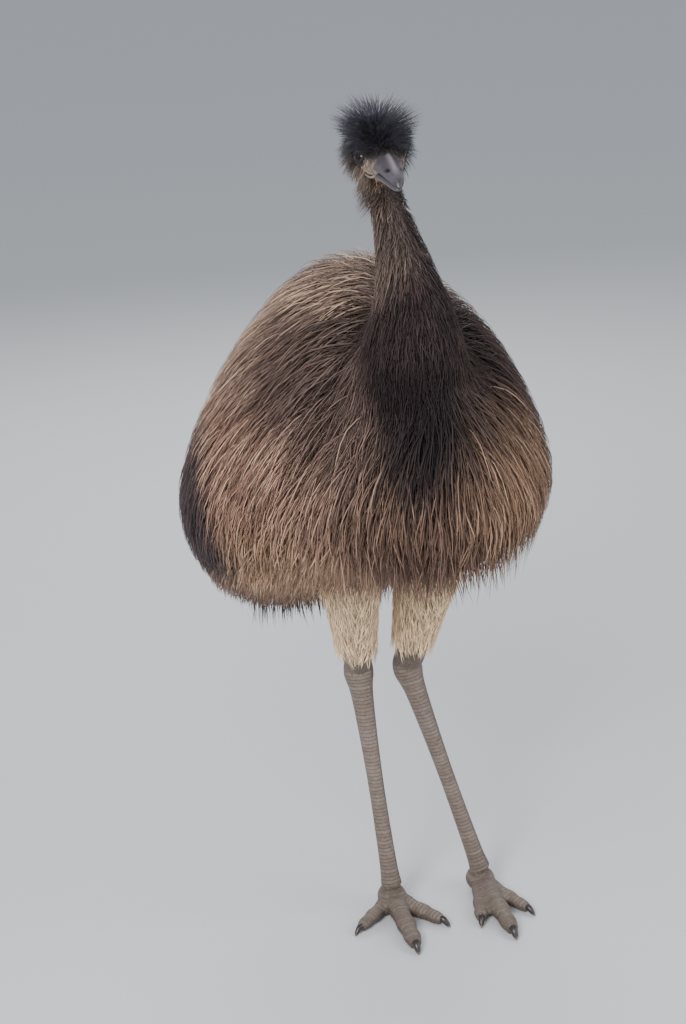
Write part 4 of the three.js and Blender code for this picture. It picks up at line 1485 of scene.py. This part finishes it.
    def describe(self) -> None:
        """Stores what the finish reads and the map's patches, and drops what is no longer needed."""
        upright = self.given["Upright"]
        self.store("along", self.math("DIVIDE", self.named("ring"), float(COAT_STEPS)))
        root = self.named("root", VECTOR)
        off, place = (
            self.add("ShaderNodeSeparateXYZ", {0: spot}).outputs
            for spot in (self.vector("SUBTRACT", root, self.given["Middle"]), root)
        )
        turn = self.math("ARCTAN2", off["X"], self.mix(upright, off["Z"], off["Y"], "FLOAT"))
        u = self.math("ADD", self.math("DIVIDE", turn, 2 * math.pi), 0.5)
        backward, height = self.math("ADD", place["Y"], 0.5), self.math("DIVIDE", place["Z"], 1.5)
        v = self.mix(upright, backward, height, "FLOAT")
        along = self.math("SUBTRACT", self.named("along"), 0.5)
        u = self.math("ADD", u, self.math("MULTIPLY", self.named("across"), self.PATCH))
        v = self.math("ADD", v, self.math("MULTIPLY", along, 2 * self.PATCH))
        patch = self.add("ShaderNodeCombineXYZ", {0: u, 1: v}).outputs[0]
        self.store("OFBake", patch, "FLOAT2", "CORNER")
        for name in self.SPENT:
            node = self.add("GeometryNodeRemoveAttribute", {"Geometry": self.strands, "Name": name})
            node.pattern_mode = "WILDCARD" if "*" in name else "EXACT"
            self.strands = node.outputs[0]


NECK_MAP = {"upright": True, "middle": (-15.0, -160.0, 1100.0)}
HEAD_MAP = {"upright": True, "middle": (-25.0, -118.0, 1265.0)}
LEFT_LEG_MAP = {"upright": True, "middle": (92.0, 80.0, 530.0)}
RIGHT_LEG_MAP = {"upright": True, "middle": (-15.0, 85.0, 530.0)}
THIGH_STRAW = shade(242, 214, 176)
COATS = (
    Coat("back_left", "body_plumage", CoatFinish("left back feathers", spread=0.5, pale=0.5), 44000, 0.0019,
         stray=0.4, wave=0.1, clump_gap=0.013, seed=11),
    Coat("back_right", "body_plumage", CoatFinish("right back feathers", spread=0.5, pale=0.5), 44000, 0.0019,
         stray=0.4, wave=0.1, clump_gap=0.013, seed=31),
    Coat("left", "body_plumage", CoatFinish("left flank feathers"), 38000, 0.0021,
         stray=0.4, wave=0.12, seed=12),
    Coat("right", "body_plumage", CoatFinish("right flank feathers", spread=0.4, pale=0.4), 38000, 0.0021,
         stray=0.4, wave=0.12, seed=13),
    Coat("breast_left", "body_plumage", CoatFinish("left breast feathers"), 42000, 0.0019,
         stray=0.35, wave=0.12, seed=14),
    Coat("breast_right", "body_plumage", CoatFinish("right breast feathers"), 42000, 0.0019,
         stray=0.35, wave=0.12, seed=24),
    Coat("rump_left", "rear_plumage", CoatFinish("left rump feathers"), 32000, 0.0024,
         stray=0.35, wave=0.1, seed=15),
    Coat("rump_right", "rear_plumage", CoatFinish("right rump feathers", spread=0.45, pale=0.5),
         36000, 0.0023, stray=0.35, wave=0.1, seed=25),
    Coat("tail", "rear_plumage", CoatFinish("tail feathers"), 32000, 0.0026, reach=1.15, seed=16),
    Coat("wing", "wing_plumage", CoatFinish("wing feathers"), 30000, 0.0024, reach=1.1, stand=0.35, seed=21),
    Coat("neck", "neck_plumage", CoatFinish("neck feathers", spread=0.4), 90000, 0.0013,
         stand=0.45, stray=0.4, wave=0.12, clump_gap=0.007, seed=17, **NECK_MAP),
    Coat("crest", "head_plumage", CoatFinish("crown bristles", shade(74, 72, 83), 0.6, 0.4, 0.1),
         520000, 0.0009, sag=0.04, cling=0.0, stand=1.9, stray=0.6, clump=0.1, clump_gap=0.005, wave=0.15,
         seed=18, **HEAD_MAP),
    Coat("cheek", "head_plumage", CoatFinish("cheek bristles", spread=0.35, root_shade=0.2), 300000, 0.0009,
         sag=0.06, cling=0.0, stand=1.5, stray=0.55, clump=0.15, clump_gap=0.005, wave=0.15, seed=26,
         **HEAD_MAP),
    Coat("face", "head_plumage", CoatFinish("face bristles", spread=0.4, root_shade=0.2), 420000, 0.0007,
         reach=0.22, stand=0.35, stray=0.35, clump=0.3, clump_gap=0.004, seed=22, **HEAD_MAP),
    Coat("thigh_left", "thigh_plumage", CoatFinish("left thigh feathers", THIGH_STRAW, 0.9), 80000, 0.0016,
         stray=0.35, clump_gap=0.009, seed=19, **LEFT_LEG_MAP),
    Coat("thigh_right", "thigh_plumage", CoatFinish("right thigh feathers", THIGH_STRAW, 0.9), 80000, 0.0016,
         stray=0.35, clump_gap=0.009, seed=29, **RIGHT_LEG_MAP),
)


# Bill, eyes, lids, lips and claws


def toned(
    name: str, finish: bpy.types.Material, forms: list, ends: Ends = Ends.CAPPED
) -> Thing:
    """Makes a smooth piece with a tone at each point.

    Args:
        name: The piece's name.
        finish: Its material.
        forms: For each form its rings, in the tables' millimetres, and the tone of each ring's points.
        ends: What the forms' ends are like.

    Returns:
        The piece.
    """
    shape = Shape()
    tones = []
    for rings, tone in forms:
        shape.add_rings(placed(rings), ends)
        tones.append(tone.ravel())
        if ends is Ends.CAPPED:
            tones.append(np.array([tone[0].mean(), tone[-1].mean()]))
    piece = shape.to_object(name)
    store(piece.data, "tone", np.concatenate(tones))
    piece.data.shade_smooth()
    piece.data.materials.append(finish)
    return piece


@dataclass(frozen=True)
class Bill:
    """The bill's two halves, with the ridge, the nostrils and their raised rims; the ridge's paler top is
    painted highlight, and the nostril pits and the edges along the mouth carry painted shade.
    """

    ridge: float = 3.2
    ridge_width: float = 4.2
    nostril: tuple = (9.3, -80.0, -8.0)
    nostril_radii: tuple = (4.0, 7.0, 2.6)
    nostril_depth: float = 2.6
    rim: float = 1.75  # the rim's outer edge, in nostril radii
    rim_height: float = 0.7
    closing: float = 1.2  # how far the lower half is raised against the upper one

    UPPER_FINENESS = (60, 56)
    LOWER_FINENESS = (44, 40)
    STOPS = (
        (0.0, 12, 9, 11), (0.3, 50, 45, 49), (0.5, 76, 71, 77),
        (0.8, 128, 121, 126), (1.0, 150, 142, 140),
    )

    def build(self) -> list[Thing]:
        """Makes both halves.

        Returns:
            The upper and the lower half.
        """
        finish = ToneFinish("bill horn", self.STOPS, 0.4, 0.15, 0.1, 220.0).material()
        halves = []
        for node, form in (("bill_upper", self.upper()), ("bill_lower", self.lower())):
            half = toned(f"looks_{node}", finish, [form])
            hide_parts(node)
            halves.append(half)
        return halves

    def upper(self) -> tuple[Array, Array]:
        """Shapes the upper half.

        Returns:
            Its rings in the tables' frame and their tones.
        """
        rings = Hull(UPPER_BILL_ROWS).rings(*self.UPPER_FINENESS)
        x, y, z = rings[..., 0], rings[..., 1], rings[..., 2]
        middle = read_rows(UPPER_BILL_ROWS, 1, y)
        crest = (z > middle) * np.exp(-((x / self.ridge_width) ** 2))
        rings[..., 2] += crest * self.ridge * smooth(y, -112, -60)
        spot = np.abs(x) - self.nostril[0], y - self.nostril[1], z - self.nostril[2]
        away = np.sqrt(sum((part / radius) ** 2 for part, radius in zip(spot, self.nostril_radii)))
        pit = 1 - smooth(away, 0.35, 1.0)
        rim = smooth(away, 0.8, 1.15) * (1 - smooth(away, 1.25, self.rim))
        rings[..., 0] -= np.sign(x) * (pit * self.nostril_depth - rim * self.rim_height)
        edge = smooth(-z + middle, 0.5, 3)
        # Tone: the top of the ridge paler as painted highlight; the nostril pits and the lower edge along the
        # mouth darker as painted shade; the raised rims slightly darker
        tone = 0.46 + 0.3 * crest * smooth(y, -105, -80) - 0.08 * rim - 0.7 * pit - 0.1 * edge
        tone -= 0.2 * smooth(-y, 98, 110)
        return from_head(rings), np.clip(tone, 0, 1)

    def lower(self) -> tuple[Array, Array]:
        """Shapes the lower half.

        Returns:
            Its rings in the tables' frame and their tones.
        """
        rings = Hull(LOWER_BILL_ROWS).rings(*self.LOWER_FINENESS)
        drop = read_rows(LOWER_BILL_ROWS, 1, rings[..., 1]) - rings[..., 2]
        rings[..., 2] += 2.2 * smooth(-drop, 0, 3) + self.closing
        # Tone: a paler band below the middle line, and painted shade on the top edge where it closes under
        # the upper half
        tone = 0.4 + 0.4 * smooth(drop, 0.5, 3) * (1 - smooth(drop, 4, 6)) - 0.35 * smooth(-drop, 1, 3)
        return from_head(rings), np.clip(tone, 0, 1)


@dataclass(frozen=True)
class Eye:
    """An eye ball with pupil and iris, and the lids' bands round it."""

    side: str
    lid_radius: float = 8.6
    lid_girth: float = 1.8
    brow_sunk: float = 2.6  # how far the outer band lies out and behind the inner one
    flatness: float = 0.86

    BALL_FINENESS = (30, 40)
    LID_FINENESS = (56, 12)
    STOPS = (
        (0.0, 4, 3, 4), (0.17, 6, 4, 5), (0.2, 66, 34, 24), (0.36, 44, 22, 18),
        (0.42, 12, 8, 9),
    )
    LID_STOPS = ((0.0, 13, 10, 12), (0.5, 24, 20, 23), (1.0, 56, 49, 50))

    def axes(self) -> tuple[Array, Array, Array, Array]:
        """Finds the eye's middle and directions.

        Returns:
            Its middle, its gaze, the way across and the way up, in the head's frame.
        """
        mirror = np.array([1.0 if self.side == "left" else -1.0, 1.0, 1.0])
        gaze = unit(EYE_GAZE * mirror)
        across = unit(np.cross(gaze, (0, 0, 1.0)))
        return EYE_PLACE * mirror, gaze, across, np.cross(across, gaze)

    def build(self) -> list[Thing]:
        """Makes the ball and the lids.

        Returns:
            The pieces.
        """
        finish = ToneFinish(f"{self.side} eye", self.STOPS, 0.05, bending=1.4).material()
        eye = toned(f"looks_eye_{self.side}", finish, [self.ball()])
        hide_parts(f"eye_{self.side}")
        inner = self.band(self.lid_radius, self.lid_girth, 0.0)
        outer = self.band(self.lid_radius + self.brow_sunk, self.lid_girth * 1.3, self.brow_sunk)
        finish = ToneFinish(f"{self.side} lids", self.LID_STOPS, mottle=0.12, scale=400.0).material()
        lids = toned(f"lids_{self.side}", finish, [inner, outer], Ends.JOINED)
        return [eye, lids]

    def ball(self) -> tuple[Array, Array]:
        """Shapes the ball.

        Returns:
            Its rings in the tables' frame and their tones.
        """
        middle, gaze, across, up = self.axes()
        ring_count, round_count = self.BALL_FINENESS
        bend = np.linspace(0.02, 0.98, ring_count)[:, None] * np.pi
        turn = np.linspace(0, 2 * np.pi, round_count, endpoint=False)[None]
        ball = (
            np.cos(bend)[..., None] * gaze
            + (np.sin(bend) * np.cos(turn))[..., None] * across
            + (np.sin(bend) * np.sin(turn))[..., None] * up
        )
        return from_head(ball * EYE_RADIUS + middle), np.broadcast_to(bend / np.pi, ball.shape[:2])

    def band(self, radius: float, girth: float, sunk: float) -> tuple[Array, Array]:
        """Shapes one closed band round the eye, longer than high.

        Args:
            radius: Its radius.
            girth: Its own half thickness.
            sunk: How far it lies behind the lids' edge.

        Returns:
            Its rings in the tables' frame and their tones.
        """
        middle, gaze, across, up = self.axes()
        out = math.sqrt((EYE_RADIUS + 0.5) ** 2 - self.lid_radius**2) - sunk
        ring_count, round_count = self.LID_FINENESS
        turn = np.linspace(0, 2 * np.pi, ring_count, endpoint=False)[:, None]
        angle = np.linspace(0, 2 * np.pi, round_count, endpoint=False)[None]
        away = np.cos(turn)[..., None] * across + self.flatness * np.sin(turn)[..., None] * up
        tube = np.cos(angle)[..., None] * away + np.sin(angle)[..., None] * gaze
        swell = (0.8 + 0.2 * np.abs(np.sin(turn)))[..., None]
        rings = middle + gaze * out + away * radius + tube * girth * swell
        tone = 0.25 + 0.5 * np.sin(angle) * (radius > self.lid_radius) + 0.15 * np.sin(turn * 9)
        return from_head(rings), np.clip(tone, 0, 1)


@dataclass(frozen=True)
class Lips:
    """The soft edges of the mouth from the bill back to its corner, with a dark band between them that is
    painted shade in the mouth's seam.
    """

    girth: float = 1.7
    apart: float = 2.2
    lift: float = 1.2  # out of the face

    FINENESS = (24, 10)
    STOPS = ((0.0, 18, 13, 15), (0.5, 104, 90, 82), (1.0, 132, 114, 100))

    def build(self) -> list[Thing]:
        """Makes the lips.

        Returns:
            The one piece.
        """
        y, angle = GAPE_ROWS.T
        middle, wide, _, drop = (read_rows(SKULL_ROWS, column, y) for column in range(1, 5))
        x, z = (wide + self.lift) * np.cos(angle), middle + (drop + self.lift) * np.sin(angle)
        thin = self.girth * smooth(y, -12, -30) + 0.3
        bands = []
        for side in (-1, 1):
            # The middle band, at tone 0, is painted shade in the seam between the two lips
            for rise, tone in ((self.apart, 0.8), (0.0, 0.0), (-self.apart, 0.9)):
                rows = np.stack([side * x, y, z + rise, thin, thin], axis=1)
                rings = Limb(rows).rings(*self.FINENESS)
                bands.append((from_head(rings), np.full(rings.shape[:2], tone)))
        finish = ToneFinish("lips", self.STOPS, mottle=0.2, scale=300.0).material()
        return [toned("lips", finish, bands)]


@dataclass(frozen=True)
class Claws:
    """The six claws, curved and dark with paler tips."""

    FINENESS = (22, 16)
    STOPS = ((0.0, 40, 34, 32), (0.6, 58, 50, 46), (1.0, 132, 118, 100))
    # Share of the length back from the tip, then height, half across and half deep in toe girths
    ROWS = ((1.0, 0.72, 0.4, 0.42), (0.55, 0.74, 0.38, 0.4), (0.22, 0.36, 0.27, 0.29))

    def build(self) -> list[Thing]:
        """Makes the claws.

        Returns:
            One piece for each claw.
        """
        finish = ToneFinish("claw horn", self.STOPS, 0.36, 0.2, 0.2, 260.0).material()
        made = []
        for side, leg in LEGS.items():
            for name in leg.toes:
                rings = self.rings(leg, name)
                tone = np.broadcast_to(np.linspace(0, 1, len(rings))[:, None] ** 2, rings.shape[:2])
                claw = toned(f"looks_claw_{name}_{side}", finish, [(rings, tone)])
                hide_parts(f"claw_{name}_{side}")
                made.append(claw)
        return made

    def rings(self, leg: Leg, name: str) -> Array:
        """Shapes one claw.

        Args:
            leg: The leg's places.
            name: Which toe.

        Returns:
            Its rings, in the tables' millimetres.
        """
        girth, tip = TOE_GIRTH[name], np.array(leg.toes[name], float)
        along = unit(tip - np.array(leg.ankle[:2]))
        rows = [
            [*(tip - along * (back * CLAW_LENGTH)), *(girth * np.array(part))] for back, *part in self.ROWS
        ]
        claw = Limb([*rows, [*tip, 1.0, 0.8, 0.8]], (-along[1], along[0], 0))
        return claw.rings(*self.FINENESS)


# The stage


@dataclass(frozen=True)
class Stage:
    """Floor, light and camera."""

    camera_place: tuple = (-934.0, -2423.0, 1700.0)
    heading: tuple = (0.342, 0.940)
    pitch: float = 20.65  # degrees down
    roll: float = 0.048  # radians
    lens: float = 66.8
    floor_size: float = 40.0  # half its side
    aim: tuple = (0.0, 0.0, 0.75)  # where the lamps point

    # For each lamp its name, place, side, power in watts and colour
    LAMPS = (
        ("key", (-1.8, -2.4, 3.0), 2.6, 105.0, (1.0, 0.985, 0.96)),
        ("fill", (2.6, -1.6, 1.9), 2.4, 55.0, (0.93, 0.96, 1.0)),
        ("rim", (0.6, 2.8, 2.6), 2.2, 70.0, (1.0, 1.0, 1.0)),
        ("catch", (-1.7, -1.6, 1.9), 0.8, 40.0, (1.0, 1.0, 1.0)),
    )
    SKY = (0.80, 0.83, 0.88, 1.0)
    SKY_STRENGTH = 0.75
    FLOOR = shade(198, 200, 203)

    def build(self) -> None:
        """Sets the stage."""
        self.floor()
        for name, place, size, power, colour in self.LAMPS:
            lamp = bpy.data.lights.new(name, "AREA")
            lamp.size, lamp.energy, lamp.color = size, power, colour
            thing = linked(name, lamp)
            thing.location = place
            thing.rotation_euler = (Vector(self.aim) - Vector(place)).to_track_quat("-Z", "Y").to_euler()
        world = bpy.context.scene.world or bpy.data.worlds.new("world")
        bpy.context.scene.world = world
        world.use_nodes = True
        sky = world.node_tree.nodes["Background"]
        sky.inputs["Color"].default_value = self.SKY
        sky.inputs["Strength"].default_value = self.SKY_STRENGTH
        self.camera()

    def floor(self) -> None:
        """Lays the plain pale floor."""
        mesh = bpy.data.meshes.new("floor")
        corners = ((-1, -1), (1, -1), (1, 1), (-1, 1))
        mesh.from_pydata([(x * self.floor_size, y * self.floor_size, 0) for x, y in corners], [], [range(4)])
        mesh.materials.append(Paint("floor paint").done({"Base Color": self.FLOOR, "Roughness": 0.85}))
        linked("floor", mesh)

    def camera(self) -> None:
        """Puts the camera where the photo was taken from."""
        pitch = math.radians(self.pitch)
        heading = Vector((*self.heading, 0)).normalized()
        across = Vector((heading.y, -heading.x, 0))
        forward = heading * math.cos(pitch) - Vector((0, 0, math.sin(pitch)))
        upright = heading * math.sin(pitch) + Vector((0, 0, math.cos(pitch)))
        right = across * math.cos(self.roll) - upright * math.sin(self.roll)
        up = across * math.sin(self.roll) + upright * math.cos(self.roll)
        data = bpy.data.cameras.new("camera")
        data.lens = self.lens
        data.sensor_width = 36.0
        camera = linked("camera", data)
        turn = Matrix((right, up, -forward)).transposed().to_4x4()
        camera.matrix_world = Matrix.Translation(Vector(placed(self.camera_place))) @ turn
        bpy.context.scene.camera = camera


FLESH = ("torso", "rump", "tail", "wing", "neck", "head", "thigh", "shank", "foot", "toe")


def main() -> None:
    """Builds the bird and its stage."""
    logging.basicConfig(level=logging.INFO, format="%(message)s")
    skin = Skin().build()
    LOG.info("skin: %d faces", len(skin.data.polygons))
    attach(skin, "root")
    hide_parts(*(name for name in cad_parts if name.startswith(FLESH)))
    blade = blade_mesh()
    for coat in COATS:
        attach(coat.build(skin, blade), "root")
    bpy.data.objects.remove(blade)
    for parts in (Bill(), Eye("left"), Eye("right"), Lips(), Claws()):
        for piece in parts.build():
            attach(piece, "root")
            LOG.info("%s: %d faces", piece.name, len(piece.data.polygons))
    Stage().build()


if __name__ == "__main__":
    main()
